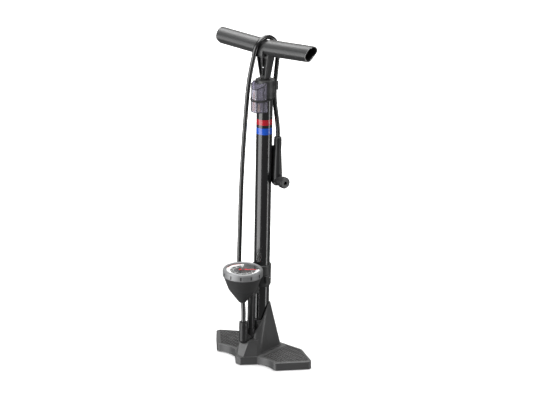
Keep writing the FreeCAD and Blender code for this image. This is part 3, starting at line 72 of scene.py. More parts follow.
def place_camera():
    """Stand the camera at its direction and distance from the aim."""
    a, e = math.radians(AZIMUTH), math.radians(ELEVATION)
    right = Vector((math.cos(a), math.sin(a), 0))
    back = Vector((math.sin(a) * math.cos(e), -math.cos(a) * math.cos(e), math.sin(e)))
    turn = Matrix((right, back.cross(right), back)).transposed()
    turn = turn @ Matrix.Rotation(math.radians(ROLL), 3, "Z")
    data = bpy.data.cameras.new("camera")
    data.lens = FOCAL_MM
    camera = bpy.data.objects.new("camera", data)
    bpy.context.scene.collection.objects.link(camera)
    camera.matrix_world = Matrix.Translation(AIM + DISTANCE * back) @ turn.to_4x4()
    bpy.context.scene.camera = camera
    return back


TOWARDS_CAMERA = place_camera()
print("camera stands", [round(v, 2) for v in DISTANCE * TOWARDS_CAMERA], "from its aim")

# %% [markdown]
# ## The light
# Black plastic is only seen by what it reflects, so the light comes from large
# soft panels.  The main panel stands to the left of the camera: on the round
# barrel it makes one broad bright stripe left of the middle and lets the right
# side fall dark.  A white sky fills the rest, and a pale floor holds the shadow.

# %% Soft panels
def soft_panel(name, direction, distance, size, power):
    """Flat light that faces the pump from a direction given in degrees."""
    a, e = (math.radians(v) for v in direction)
    away = Vector((math.cos(a) * math.cos(e), math.sin(a) * math.cos(e), math.sin(e)))
    data = bpy.data.lights.new(name, "AREA")
    data.shape = "RECTANGLE"
    data.size, data.size_y = size
    data.energy = power
    panel = bpy.data.objects.new(name, data)
    bpy.context.scene.collection.objects.link(panel)
    panel.location = AIM + distance * away
    panel.rotation_euler = away.to_track_quat("Z", "Y").to_euler()
    panel.visible_camera = False
    return panel


soft_panel("panel_left", (-110, 2), 2.4, (2.4, 3.4), 95)
soft_panel("panel_edge", (22, 0), 2.4, (0.5, 3.0), 22)
soft_panel("panel_top", (-80, 86), 5.0, (4.5, 4.5), 330)
soft_panel("panel_back", (129, 58), 3.4, (3.4, 1.6), 90)


# %% Sky and floor
def make_sky(strength):
    """White surroundings: full white behind the pump, a faint fill as a light."""
    world = bpy.data.worlds.new("studio")
    world.use_nodes = True
    tree = world.node_tree
    sky = tree.nodes["Background"]
    sky.inputs["Color"].default_value = (1, 1, 1, 1)
    seen = tree.nodes.new("ShaderNodeLightPath").outputs["Is Camera Ray"]
    level = tree.nodes.new("ShaderNodeMapRange")
    tree.links.new(seen, level.inputs["Value"])
    level.inputs["To Min"].default_value = strength
    level.inputs["To Max"].default_value = 1.0
    tree.links.new(level.outputs[0], sky.inputs["Strength"])
    bpy.context.scene.world = world


def floor_paint():
    """Pale paint that glows a little more with distance, so the light reaches far."""
    paint = bpy.data.materials.new("floor_paint")
    paint.use_nodes = True
    tree = paint.node_tree
    shader = tree.nodes["Principled BSDF"]
    shader.inputs["Base Color"].default_value = (0.86, 0.86, 0.86, 1)
    shader.inputs["Roughness"].default_value = 1.0
    shader.inputs["Specular IOR Level"].default_value = 0.0
    place = tree.nodes.new("ShaderNodeTexCoord").outputs["Object"]
    far = tree.nodes.new("ShaderNodeVectorMath")
    far.operation = "LENGTH"
    tree.links.new(place, far.inputs[0])
    glow = tree.nodes.new("ShaderNodeMapRange")
    glow.interpolation_type = "SMOOTHSTEP"
    tree.links.new(far.outputs["Value"], glow.inputs["Value"])
    for label, value in (("From Min", 0.2), ("From Max", 2.2), ("To Min", 0.02), ("To Max", 0.9)):
        glow.inputs[label].default_value = value
    tree.links.new(glow.outputs[0], shader.inputs["Emission Strength"])
    shader.inputs["Emission Color"].default_value = (1, 1, 1, 1)
    return paint


def make_floor(radius, steps=96):
    """Pale round floor under the pump."""
    mesh = bpy.data.meshes.new("studio_floor")
    rim = [Vector((radius * math.cos(i * math.tau / steps),
                   radius * math.sin(i * math.tau / steps), 0)) for i in range(steps)]
    mesh.from_pydata(rim, [], [list(range(steps))])
    mesh.materials.append(floor_paint())
    floor = bpy.data.objects.new("studio_floor", mesh)
    bpy.context.scene.collection.objects.link(floor)
    floor.visible_glossy = False
    floor.visible_diffuse = False
    floor.visible_shadow = False
    return floor


make_sky(0.20)
bpy.context.scene.view_settings.view_transform = "Standard"
make_floor(30.0)
print("sky and floor made")

# %% [markdown]
# ## Node groups for surfaces
# Several finishes share the same small effects: the fine grain of a moulding,
# scuffs from use, brushed lines on turned metal, and dust with painted top light
# on faces that look up.
# Each effect is one shader node group with named inputs, placed in a material
# with that material's own values.  Groups put out masks, values and heights
# only, and the shader itself stays in the material.

# %% Helpers for building groups
def new_group(name, inputs, outputs):
    """Empty shader group with float inputs {name: default} and float outputs."""
    group = bpy.data.node_groups.new(name, "ShaderNodeTree")
    for label, value in inputs.items():
        socket = group.interface.new_socket(label, in_out="INPUT", socket_type="NodeSocketFloat")
        socket.default_value = value
    for label in outputs:
        group.interface.new_socket(label, in_out="OUTPUT", socket_type="NodeSocketFloat")
    start = group.nodes.new("NodeGroupInput")
    end = group.nodes.new("NodeGroupOutput")
    return group, start.outputs, end.inputs


def node(tree, kind, links=None, **settings):
    """Add a node, set its properties, and link or set its inputs by name."""
    made = tree.nodes.new(kind)
    for key, value in settings.items():
        setattr(made, key, value)
    for key, value in (links or {}).items():
        if isinstance(value, bpy.types.NodeSocket):
            tree.links.new(value, made.inputs[key])
        else:
            made.inputs[key].default_value = value
    return made


def math_node(tree, operation, first, second=0.0):
    """One arithmetic step."""
    return node(tree, "ShaderNodeMath", {0: first, 1: second}, operation=operation).outputs[0]


def object_place(tree, scale=(1, 1, 1), turn=(0, 0, 0)):
    """Object coordinates, stretched and turned."""
    place = node(tree, "ShaderNodeTexCoord").outputs["Object"]
    return node(tree, "ShaderNodeMapping", {"Vector": place, "Scale": scale,
                                            "Rotation": turn}).outputs["Vector"]


print("group helpers ready")


# %% Grain, scuffs, brushed lines, and dust with painted top light
def moulded_grain():
    """Fine spark-eroded grain and a slow drift of tone."""
    group, start, end = new_group(
        "moulded_grain", {"Grain per metre": 900.0, "Drift per metre": 14.0, "Roughness": 0.45,
                          "Roughness spread": 0.12}, ["Height", "Tone", "Roughness"])
    place = object_place(group)
    grain = node(group, "ShaderNodeTexNoise",
                 {"Vector": place, "Scale": start["Grain per metre"], "Detail": 3.0})
    drift = node(group, "ShaderNodeTexNoise",
                 {"Vector": place, "Scale": start["Drift per metre"], "Detail": 4.0,
                  "Roughness": 0.6})
    lift = math_node(group, "SUBTRACT", drift.outputs["Fac"], 0.5)
    lift = math_node(group, "MULTIPLY", lift, start["Roughness spread"])
    group.links.new(grain.outputs["Fac"], end["Height"])
    group.links.new(drift.outputs["Fac"], end["Tone"])
    group.links.new(math_node(group, "ADD", start["Roughness"], lift), end["Roughness"])
    return group


def scuffs():
    """Thin scattered scratches, as a mask."""
    group, start, end = new_group("scuffs", {"Per metre": 60.0, "Amount": 0.3}, ["Mask"])
    mask = None
    for turn in ((0.4, 0.2, 0.9), (1.3, 0.7, 2.2)):
        place = object_place(group, (1.0, 9.0, 1.0), turn)
        lines = node(group, "ShaderNodeTexNoise",
                     {"Vector": place, "Scale": start["Per metre"], "Detail": 5.0,
                      "Roughness": 0.7})
        line = node(group, "ShaderNodeMapRange", {"Value": lines.outputs["Fac"],
                    "From Min": 0.64, "From Max": 0.74, "To Min": 0.0, "To Max": 1.0})
        mask = line.outputs[0] if mask is None else math_node(group, "MAXIMUM", mask,
                                                              line.outputs[0])
    group.links.new(math_node(group, "MULTIPLY", mask, start["Amount"]), end["Mask"])
    return group


def turned_lines():
    """Fine rings that turning or drawing leaves along the Z axis."""
    group, start, end = new_group("turned_lines", {"Per metre": 1800.0}, ["Height", "Tone"])
    place = object_place(group, (0.06, 0.06, 1.0))
    lines = node(group, "ShaderNodeTexNoise", {"Vector": place, "Scale": start["Per metre"],
                                               "Detail": 2.0})
    group.links.new(lines.outputs["Fac"], end["Height"])
    group.links.new(lines.outputs["Fac"], end["Tone"])
    return group


def settled_dust():
    """Mask of settled dust and painted top light, in patches on faces that look up."""
    group, start, end = new_group("settled_dust", {"Per metre": 35.0, "Amount": 0.2}, ["Mask"])
    facing = node(group, "ShaderNodeNewGeometry").outputs["Normal"]
    up = node(group, "ShaderNodeSeparateXYZ", {"Vector": facing}).outputs["Z"]
    up = node(group, "ShaderNodeMapRange", {"Value": up, "From Min": 0.55, "From Max": 0.98,
                                            "To Min": 0.0, "To Max": 1.0}).outputs[0]
    # Faces that look up are paled in patches: settled dust, and painted top light.
    patch = node(group, "ShaderNodeTexNoise", {"Vector": object_place(group),
                                               "Scale": start["Per metre"], "Detail": 6.0})
    amount = math_node(group, "MULTIPLY", patch.outputs["Fac"], start["Amount"])
    group.links.new(math_node(group, "MULTIPLY", up, amount), end["Mask"])
    return group


GRAIN, SCUFFS, LINES, DUST_AND_TOP_LIGHT = moulded_grain(), scuffs(), turned_lines(), settled_dust()
print("groups:", [g.name for g in (GRAIN, SCUFFS, LINES, DUST_AND_TOP_LIGHT)])

# %% [markdown]
# ## The finishes
# A moulded finish is a Principled shader whose colour drifts a little, is paler
# where scuffs cross it, and is paler on faces that look up, partly as dust and
# partly as painted top light.  Its fine grain reaches the normal through a Bump
# node.  One function makes them all, so each finish is a short call with its own
# numbers.

# %% A moulded finish
def new_finish(name, roughness=0.5, metallic=0.0):
    """Material with a bare Principled shader; gives the material, its tree and the shader."""
    finish = bpy.data.materials.new(name)
    finish.use_nodes = True
    shader = finish.node_tree.nodes["Principled BSDF"]
    shader.inputs["Roughness"].default_value = roughness
    shader.inputs["Metallic"].default_value = metallic
    return finish, finish.node_tree, shader


def use_group(tree, group, **values):
    """Place a group in a material and set its inputs; spaces are written as underscores."""
    made = node(tree, "ShaderNodeGroup", node_tree=group)
    for key, value in values.items():
        made.inputs[key.replace("_", " ")].default_value = value
    return made.outputs


def mix(tree, factor, first, second):
    """Blend of two colours."""
    made = node(tree, "ShaderNodeMix", data_type="RGBA")
    for socket, value in ((made.inputs[0], factor), (made.inputs[6], first),
                          (made.inputs[7], second)):
        if isinstance(value, bpy.types.NodeSocket):
            tree.links.new(value, socket)
        elif isinstance(value, tuple):
            socket.default_value = (*value, 1)
        else:
            socket.default_value = value
    return made.outputs[2]


def bump(tree, shader, height, distance, strength=1.0):
    """Raise the surface by a height, in metres at height 1."""
    made = node(tree, "ShaderNodeBump", {"Height": height, "Distance": distance,
                                         "Strength": strength})
    tree.links.new(made.outputs["Normal"], shader.inputs["Normal"])


def moulded(name, dark, pale, roughness, grain=900.0, depth=0.00012, scuffed=0.25, dust_and_light_amount=0.12,
            gloss=0.5):
    """Moulded plastic or rubber."""
    finish, tree, shader = new_finish(name)
    skin = use_group(tree, GRAIN, Grain_per_metre=grain, Roughness=roughness)
    wear = use_group(tree, SCUFFS, Amount=scuffed)
    dust_and_light = use_group(tree, DUST_AND_TOP_LIGHT, Amount=dust_and_light_amount)
    colour = mix(tree, skin["Tone"], dark, pale)
    colour = mix(tree, wear["Mask"], colour, tuple(min(1.0, 2.2 * v + 0.02) for v in pale))
    # Faces that look up turn pale grey: settled dust, and painted top light.
    colour = mix(tree, dust_and_light["Mask"], colour, (0.42, 0.41, 0.40))
    tree.links.new(colour, shader.inputs["Base Color"])
    tree.links.new(skin["Roughness"], shader.inputs["Roughness"])
    shader.inputs["Specular IOR Level"].default_value = gloss
    bump(tree, shader, skin["Height"], depth)
    return finish


CASING = moulded("casing_grey", (0.026, 0.0265, 0.027), (0.042, 0.0425, 0.043), 0.40)
FOOT_GREY = moulded("foot_grey", (0.042, 0.0425, 0.043), (0.066, 0.0665, 0.067), 0.34)
TREAD = moulded("tread_grey", (0.010, 0.010, 0.0105), (0.018, 0.018, 0.0185), 0.34,
                grain=1400.0, depth=0.0002, scuffed=0.35, dust_and_light_amount=0.2)
GRIP_GREY = moulded("grip_grey", (0.026, 0.0265, 0.027), (0.040, 0.0405, 0.041), 0.31,
                    grain=1100.0)
HEAD_BLACK = moulded("head_black", (0.010, 0.010, 0.0105), (0.018, 0.018, 0.0185), 0.34)
RUBBER = moulded("soft_rubber", (0.014, 0.014, 0.014), (0.026, 0.026, 0.026), 0.68,
                 grain=700.0, scuffed=0.1, dust_and_light_amount=0.25, gloss=0.35)
BUSH_WHITE = moulded("bush_plastic", (0.55, 0.54, 0.50), (0.66, 0.65, 0.61), 0.42, scuffed=0.1)
ORANGE = moulded("taper_orange", (0.42, 0.12, 0.03), (0.52, 0.17, 0.05), 0.38, scuffed=0.1)
NEEDLE_RED = moulded("needle_red", (0.62, 0.012, 0.02), (0.72, 0.02, 0.03), 0.35,
                     scuffed=0.0, dust_and_light_amount=0.0)
print("moulded finishes:", len(bpy.data.materials))


# %% Metals
def metal(name, colour, roughness, lines=1800.0, depth=0.00004, metallic=1.0):
    """Turned or drawn metal with fine rings and a drift of tone."""
    finish, tree, shader = new_finish(name, metallic=metallic)
    rings = use_group(tree, LINES, Per_metre=lines)
    skin = use_group(tree, GRAIN, Roughness=roughness, Roughness_spread=0.16)
    dull = tuple(0.72 * v for v in colour)
    tree.links.new(mix(tree, skin["Tone"], colour, dull), shader.inputs["Base Color"])
    tree.links.new(skin["Roughness"], shader.inputs["Roughness"])
    bump(tree, shader, rings["Height"], depth)
    return finish


STEEL = metal("drawn_steel", (0.70, 0.71, 0.72), 0.20)
BRASS = metal("turned_brass", (0.74, 0.55, 0.26), 0.26)
SILVER = metal("bezel_silver", (0.27, 0.273, 0.276), 0.46, lines=900.0, metallic=0.45)
print("metals: drawn_steel, turned_brass, bezel_silver")

# %% [markdown]
# ## The barrel's paint
# The barrel is gloss black with a red and a blue band near its top.  The bands
# follow the height in Object coordinates, because the paint is the same all
# round.  A clear coat over a slightly wavy skin gives the look of sprayed paint.

# %% Barrel paint with two bands
RED_BAND = (0.5188, 0.5306)
BLUE_BAND = (0.4985, 0.5123)


def band_mask(tree, band):
    """One between two heights, with a crisp edge."""
    place = node(tree, "ShaderNodeTexCoord").outputs["Object"]
    height = node(tree, "ShaderNodeSeparateXYZ", {"Vector": place}).outputs["Z"]
    above = math_node(tree, "GREATER_THAN", height, band[0])
    below = math_node(tree, "LESS_THAN", height, band[1])
    return math_node(tree, "MULTIPLY", above, below)


def barrel_paint():
    """Sprayed gloss black with the two bands."""
    finish, tree, shader = new_finish("barrel_paint")
    skin = use_group(tree, GRAIN, Grain_per_metre=320.0, Drift_per_metre=9.0, Roughness=0.22,
                     Roughness_spread=0.08)
    wear = use_group(tree, SCUFFS, Amount=0.16)
    colour = mix(tree, skin["Tone"], (0.0045, 0.0045, 0.005), (0.008, 0.008, 0.0085))
    colour = mix(tree, wear["Mask"], colour, (0.05, 0.05, 0.05))
    colour = mix(tree, band_mask(tree, RED_BAND), colour, (0.42, 0.004, 0.016))
    colour = mix(tree, band_mask(tree, BLUE_BAND), colour, (0.003, 0.075, 0.50))
    tree.links.new(colour, shader.inputs["Base Color"])
    tree.links.new(skin["Roughness"], shader.inputs["Roughness"])
    shader.inputs["Coat Weight"].default_value = 0.6
    shader.inputs["Coat Roughness"].default_value = 0.08
    bump(tree, shader, skin["Height"], 0.00006)
    return finish


BARREL_PAINT = barrel_paint()
print("bands at", RED_BAND, BLUE_BAND)


# %% [markdown]
# ## Clear pieces
# The gauge's lens is plain clear glass.  The accessory case is smoky plastic: a
# tinted transmission with a little roughness, so the fittings inside show as
# soft shapes.

# %% Clear plastics
def clear(name, tint, roughness, transmission):
    """See-through plastic with a faint wave in its surface."""
    finish, tree, shader = new_finish(name)
    shader.inputs["Transmission Weight"].default_value = transmission
    shader.inputs["IOR"].default_value = 1.46
    skin = use_group(tree, GRAIN, Grain_per_metre=120.0, Drift_per_metre=30.0,
                     Roughness=roughness, Roughness_spread=0.06)
    tree.links.new(mix(tree, skin["Tone"], tint, tuple(0.86 * v for v in tint)),
                   shader.inputs["Base Color"])
    tree.links.new(skin["Roughness"], shader.inputs["Roughness"])
    bump(tree, shader, skin["Height"], 0.00002, 0.2)
    return finish


LENS = clear("lens_clear", (0.97, 0.98, 0.98), 0.03, 1.0)
SMOKE = clear("case_smoke", (0.46, 0.44, 0.53), 0.05, 0.85)
print("clear finishes made")

# %% [markdown]
# ## The hose
# The hose is one length of rubber, 9.5 mm thick, from the elbow's socket up over
# the handle and down to the pump head.  Its route is a list of given points,
# which a NURBS spline of order 3 turns into one smooth line.  The tube is
# then swept along that line by a small Geometry Nodes tree, which also serves
# every other piece here that follows a path.

# %% A tree that sweeps a tube along a path
def sweep_tree():
    """Geometry Nodes tree: a chain of edges becomes a closed round tube."""
    tree = bpy.data.node_groups.new("sweep_tube", "GeometryNodeTree")
    face = tree.interface
    face.new_socket("Path", in_out="INPUT", socket_type="NodeSocketGeometry")
    for label, value in (("Radius", 0.002), ("Step", 0.003)):
        socket = face.new_socket(label, in_out="INPUT", socket_type="NodeSocketFloat")
        socket.default_value = value
    socket = face.new_socket("Sides", in_out="INPUT", socket_type="NodeSocketInt")
    socket.default_value = 12
    face.new_socket("Finish", in_out="INPUT", socket_type="NodeSocketMaterial")
    face.new_socket("Tube", in_out="OUTPUT", socket_type="NodeSocketGeometry")
    start = tree.nodes.new("NodeGroupInput").outputs
    line = node(tree, "GeometryNodeMeshToCurve", {"Mesh": start["Path"]})
    line = node(tree, "GeometryNodeResampleCurve", {"Curve": line.outputs[0],
                "Length": start["Step"]}, mode="LENGTH")
    along = node(tree, "GeometryNodeSplineParameter").outputs["Length"]
    kept = node(tree, "GeometryNodeStoreNamedAttribute",
                {"Geometry": line.outputs[0], "Name": "along", "Value": along},
                data_type="FLOAT", domain="POINT")
    round_section = node(tree, "GeometryNodeCurvePrimitiveCircle",
                         {"Radius": start["Radius"], "Resolution": start["Sides"]})
    tube = node(tree, "GeometryNodeCurveToMesh",
                {"Curve": kept.outputs[0], "Profile Curve": round_section.outputs[0],
                 "Fill Caps": True})
    smooth = node(tree, "GeometryNodeSetShadeSmooth", {"Geometry": tube.outputs[0]})
    real = node(tree, "GeometryNodeRealizeInstances", {"Geometry": smooth.outputs[0]})
    dressed = node(tree, "GeometryNodeSetMaterial", {"Geometry": real.outputs[0],
                                                     "Material": start["Finish"]})
    end = tree.nodes.new("NodeGroupOutput").inputs
    tree.links.new(dressed.outputs[0], end["Tube"])
    return tree


def outward(mesh):
    """Turn a closed mesh the right way out."""
    shape = bmesh.new()
    shape.from_mesh(mesh)
    if shape.calc_volume(signed=True) < 0:
        bmesh.ops.reverse_faces(shape, faces=shape.faces)
        shape.to_mesh(mesh)
    shape.free()
    return mesh


def grow(name, base, tree, **inputs):
    """Run a Geometry Nodes tree on a base mesh and keep the result as a plain mesh."""
    holder = bpy.data.objects.new(name + "_base", base)
    bpy.context.scene.collection.objects.link(holder)
    modifier = holder.modifiers.new("nodes", "NODES")
    modifier.node_group = tree
    for item in tree.interface.items_tree:
        if item.in_out == "INPUT" and item.name in inputs:
            modifier[item.identifier] = inputs[item.name]
    ready = holder.evaluated_get(bpy.context.evaluated_depsgraph_get())
    mesh = bpy.data.meshes.new_from_object(ready)
    bpy.data.objects.remove(holder)
    mesh.name = name
    return outward(mesh)


def show(name, mesh, body, slot, *stands_for):
    """Add a finished mesh as a piece that rides on a body."""
    piece = bpy.data.objects.new(name, mesh)
    bpy.context.scene.collection.objects.link(piece)
    if body:
        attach(piece, body)
    if stands_for:
        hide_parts(*stands_for)
    return piece


SWEEP = sweep_tree()
print("sweep tree inputs:", [i.name for i in SWEEP.interface.items_tree if i.in_out == "INPUT"])

# %% [markdown]
# ## The hose's line and rubber
# The route starts straight up out of the socket, leans left past the gauge,
# climbs beside the barrel, lies over the handle's saddle, drops through the clip
# on the cap and ends in the nut of the pump head.

# %% Hose line
HOSE_ROUTE = [
    (0, -0.058, 0.093), (0, -0.058, 0.114), (-0.007, -0.052, 0.136), (-0.022, -0.0425, 0.157),
    (-0.035, -0.032, 0.184), (-0.041, -0.0265, 0.226), (-0.042, -0.0235, 0.280),
    (-0.0405, -0.0245, 0.336), (-0.0365, -0.0275, 0.392), (-0.0315, -0.0305, 0.448),
    (-0.0265, -0.032, 0.504), (-0.0215, -0.0335, 0.556), (-0.017, -0.034, 0.602),
    (-0.012, -0.0315, 0.640), (-0.008, -0.0285, 0.664), (-0.0055, -0.0282, 0.680),
    (-0.003, -0.0205, 0.694), (-0.001, -0.0065, 0.702), (0.001, 0.0095, 0.702),
    (0.003, 0.0235, 0.694), (0.005, 0.0315, 0.680), (0.0065, 0.0318, 0.660),
    (0.006, 0.028, 0.628), (0.0046, 0.0253, 0.590), (0.0065, 0.0245, 0.562),
    (0.014, 0.0225, 0.532), (0.0205, 0.020, 0.506), (0.0205, 0.020, 0.490),
]
HOSE_DIAMETER = 0.0095


def smooth_line(name, points):
    """Edges that follow a NURBS spline through given control points."""
    curve = bpy.data.curves.new(name, "CURVE")
    curve.dimensions = "3D"
    curve.resolution_u = 14
    spline = curve.splines.new("NURBS")
    spline.points.add(len(points) - 1)
    for point, place in zip(spline.points, points):
        point.co = (*place, 1)
    spline.order_u = 3
    spline.use_endpoint_u = True
    holder = bpy.data.objects.new(name, curve)
    bpy.context.scene.collection.objects.link(holder)
    ready = holder.evaluated_get(bpy.context.evaluated_depsgraph_get())
    mesh = bpy.data.meshes.new_from_object(ready)
    bpy.data.objects.remove(holder)
    return mesh


hose_line = smooth_line("hose_line", HOSE_ROUTE)


# %% Hose rubber and the hose itself
def hose_rubber():
    """Smooth black rubber with faint rings along its length and rubbed patches."""
    finish, tree, shader = new_finish("hose_rubber")
    shader.inputs["Specular IOR Level"].default_value = 0.9
    skin = use_group(tree, GRAIN, Grain_per_metre=1500.0, Drift_per_metre=22.0, Roughness=0.15,
                     Roughness_spread=0.06)
    along = node(tree, "ShaderNodeAttribute", attribute_name="along").outputs["Fac"]
    rings = math_node(tree, "SINE", math_node(tree, "MULTIPLY", along, 3600.0))
    rings = math_node(tree, "MULTIPLY", rings, 0.18)
    height = math_node(tree, "ADD", skin["Height"], rings)
    wear = use_group(tree, SCUFFS, Amount=0.2)
    colour = mix(tree, skin["Tone"], (0.005, 0.005, 0.005), (0.010, 0.010, 0.010))
    colour = mix(tree, wear["Mask"], colour, (0.09, 0.09, 0.09))
    tree.links.new(colour, shader.inputs["Base Color"])
    tree.links.new(skin["Roughness"], shader.inputs["Roughness"])
    bump(tree, shader, height, 0.00006)
    return finish


HOSE_BLACK = hose_rubber()
hose_mesh = grow("pump_hose", hose_line, SWEEP, Radius=HOSE_DIAMETER / 2, Step=0.003, Sides=28,
                 Finish=HOSE_BLACK)
hose = show("pump_hose", hose_mesh, None, "hose_rubber", "hose")
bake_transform(hose)
print("hose:", len(hose_mesh.polygons), "faces")

# %% [markdown]
# ## Finishes for the frame's own pieces
# Most pieces of the frame already have the right shape, so they only need their
# finish.  A table says which finish goes on which piece.

# %% Dress the frame
DRESSED = {
    FOOT_GREY: ["foot_base"],
    CASING: ["gauge_bracket", "bracket_clamp", "gauge_housing", "barrel_cap", "hose_clip",
             "case_tray", "barrel_plug"],
    GRIP_GREY: ["handle_bar"],
    HEAD_BLACK: ["hose_elbow", "riser_tube", "head_body", "head_nut", "head_collar",
                 "head_lever", "hose_gland", "gauge_dial", "piston_head"],
    RUBBER: ["rubber_feet", "barrel_plug_ring", "hose_elbow_ring", "riser_rings", "cap_wiper",
             "case_band", "piston_seal", "rod_bumper", "handle_cushion", "head_grommet"],
    BUSH_WHITE: ["cap_bush", "check_valve_poppet", "head_plunger"],
    STEEL: ["barrel_plug_screws", "check_valve_spring", "bracket_screws", "ball_needle",
            "piston_rod", "piston_washer", "piston_screw", "rod_pin", "lever_pin"],
    BRASS: ["hose_nipple", "check_valve_seat", "gauge_stem", "bourdon_tube",
            "gauge_movement", "brass_adapter"],
    ORANGE: ["tapered_adapter"],
    NEEDLE_RED: ["gauge_needle"],
    BARREL_PAINT: ["barrel"],
    LENS: ["gauge_lens"],
    SMOKE: ["case_cover"],
}


def dress(part, finish):
    """Put a finish in every material slot of one of the frame's pieces."""
    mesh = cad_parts[part].data
    if not mesh.materials:
        mesh.materials.append(finish)
    for i in range(len(mesh.materials)):
        mesh.materials[i] = finish


for finish, parts in DRESSED.items():
    for part in parts:
        dress(part, finish)
# Light passes straight through the clear pieces onto what lies behind them.
for part in ("gauge_lens", "case_cover"):
    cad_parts[part].visible_shadow = False
print("dressed", sum(len(parts) for parts in DRESSED.values()), "pieces")

# %% [markdown]
# ## A tree for things set round a circle
# Ticks on a dial, ribs on a nut and flutes on a cap are the same idea: a small
# bar repeated round a circle.  One Geometry Nodes tree places points on an arc,
# puts a bar on each and turns it to face outwards.

# %% A tree that sets bars round a circle
def bar_ring_tree():
    """Geometry Nodes tree: bars on an arc, each with its long side outwards."""
    tree = bpy.data.node_groups.new("bar_ring", "GeometryNodeTree")
    face = tree.interface
    face.new_socket("Base", in_out="INPUT", socket_type="NodeSocketGeometry")
    face.new_socket("Count", in_out="INPUT", socket_type="NodeSocketInt").default_value = 12
    for label, value in (("Radius", 0.02), ("Level", 0.0), ("Start", 0.0), ("Turn", 0.5)):
        face.new_socket(label, in_out="INPUT", socket_type="NodeSocketFloat").default_value = value
    face.new_socket("Bar", in_out="INPUT", socket_type="NodeSocketVector")
    face.new_socket("Finish", in_out="INPUT", socket_type="NodeSocketMaterial")
    face.new_socket("Ring", in_out="OUTPUT", socket_type="NodeSocketGeometry")
    start = tree.nodes.new("NodeGroupInput").outputs
    index = node(tree, "GeometryNodeInputIndex").outputs[0]
    angle = math_node(tree, "MULTIPLY", index, start["Turn"])
    angle = math_node(tree, "ADD", angle, start["Start"])
    across = math_node(tree, "MULTIPLY", math_node(tree, "COSINE", angle), start["Radius"])
    along = math_node(tree, "MULTIPLY", math_node(tree, "SINE", angle), start["Radius"])
    place = node(tree, "ShaderNodeCombineXYZ", {"X": across, "Y": along, "Z": start["Level"]})
    points = node(tree, "GeometryNodePoints", {"Count": start["Count"],
                                               "Position": place.outputs[0]})
    bar = node(tree, "GeometryNodeMeshCube", {"Size": start["Bar"]})
    heading = node(tree, "ShaderNodeCombineXYZ", {"Z": angle})
    placed = node(tree, "GeometryNodeInstanceOnPoints",
                  {"Points": points.outputs[0], "Instance": bar.outputs[0],
                   "Rotation": heading.outputs[0]})
    real = node(tree, "GeometryNodeRealizeInstances", {"Geometry": placed.outputs[0]})
    dressed = node(tree, "GeometryNodeSetMaterial", {"Geometry": real.outputs[0],
                                                     "Material": start["Finish"]})
    end = tree.nodes.new("NodeGroupOutput").inputs
    tree.links.new(dressed.outputs[0], end["Ring"])
    return tree


BAR_RING = bar_ring_tree()


def bars(name, count, radius, level, bar, finish, start=0.0, turn=None):
    """Bars round the Z axis; turn is the angle from one to the next in degrees."""
    turn = 360.0 / count if turn is None else turn
    return grow(name, bpy.data.meshes.new(name + "_base"), BAR_RING, Count=count, Radius=radius,
                Level=level, Bar=bar, Finish=finish, Start=math.radians(start),
                Turn=math.radians(turn))


print("bar ring inputs:", [i.name for i in BAR_RING.interface.items_tree])


# %% Helpers for plates, turned rings and paths
def turned(name, profile, angles, finish, dent=None):
    """Ring turned about the Z axis from a closed profile of (radius, height)."""
    shape = bmesh.new()
    rows = []
    for angle in angles:
        row = []
        for radius, height in profile:
            radius -= dent(angle, height) if dent else 0.0
            across, along = radius * math.cos(angle), radius * math.sin(angle)
            row.append(shape.verts.new((across, along, height)))
        rows.append(row)
    for this, after in zip(rows, rows[1:] + rows[:1]):
        for i in range(len(profile)):
            j = (i + 1) % len(profile)
            shape.faces.new((this[i], after[i], after[j], this[j]))
    mesh = bpy.data.meshes.new(name)
    shape.to_mesh(mesh)
    shape.free()
    mesh.materials.append(finish)
    return outward(mesh)


def even_angles(steps):
    """Angles that divide a turn evenly."""
    return [i * math.tau / steps for i in range(steps)]


def plate(name, outline, bottom, top, finish, bevel=0.0):
    """Flat plate with an outline, and edges softened by a bevel."""
    shape = bmesh.new()
    low = shape.faces.new([shape.verts.new((x, y, bottom)) for x, y in outline])
    pushed = bmesh.ops.extrude_face_region(shape, geom=[low])["geom"]
    rise = [g for g in pushed if isinstance(g, bmesh.types.BMVert)]
    bmesh.ops.translate(shape, verts=rise, vec=(0, 0, top - bottom))
    if bevel:
        bmesh.ops.bevel(shape, geom=shape.edges[:], offset=bevel, segments=3, affect="EDGES",
                        profile=0.6)
    mesh = bpy.data.meshes.new(name)
    shape.to_mesh(mesh)
    shape.free()
    mesh.materials.append(finish)
    return outward(mesh)


def chains(name, lines):
    """Mesh of loose edges: one chain of edges for each list of points."""
    points, edges = [], []
    for line in lines:
        first = len(points)
        points += line
        edges += [(i, i + 1) for i in range(first, first + len(line) - 1)]
    mesh = bpy.data.meshes.new(name)
    mesh.from_pydata(points, edges, [])
    return mesh


def joined(name, *meshes):
    """Several meshes as one."""
    shape = bmesh.new()
    finishes = []
    for mesh in meshes:
        first = len(finishes)
        finishes += list(mesh.materials)
        before = len(shape.faces)
        shape.from_mesh(mesh)
        shape.faces.ensure_lookup_table()
        for face in shape.faces[before:]:
            face.material_index += first
    whole = bpy.data.meshes.new(name)
    shape.to_mesh(whole)
    shape.free()
    for finish in finishes:
        whole.materials.append(finish)
    return whole


print("shape helpers ready")

# %% [markdown]
# ## The treads
# The wings carry two rubbery pads with wavy ribs, so a shoe doesn't slip.  Each
# rib is a line that sways as it crosses the pad.  The lines are cut to the pad's
# outline first, and the sweep tree turns them into half-sunk round ribs.

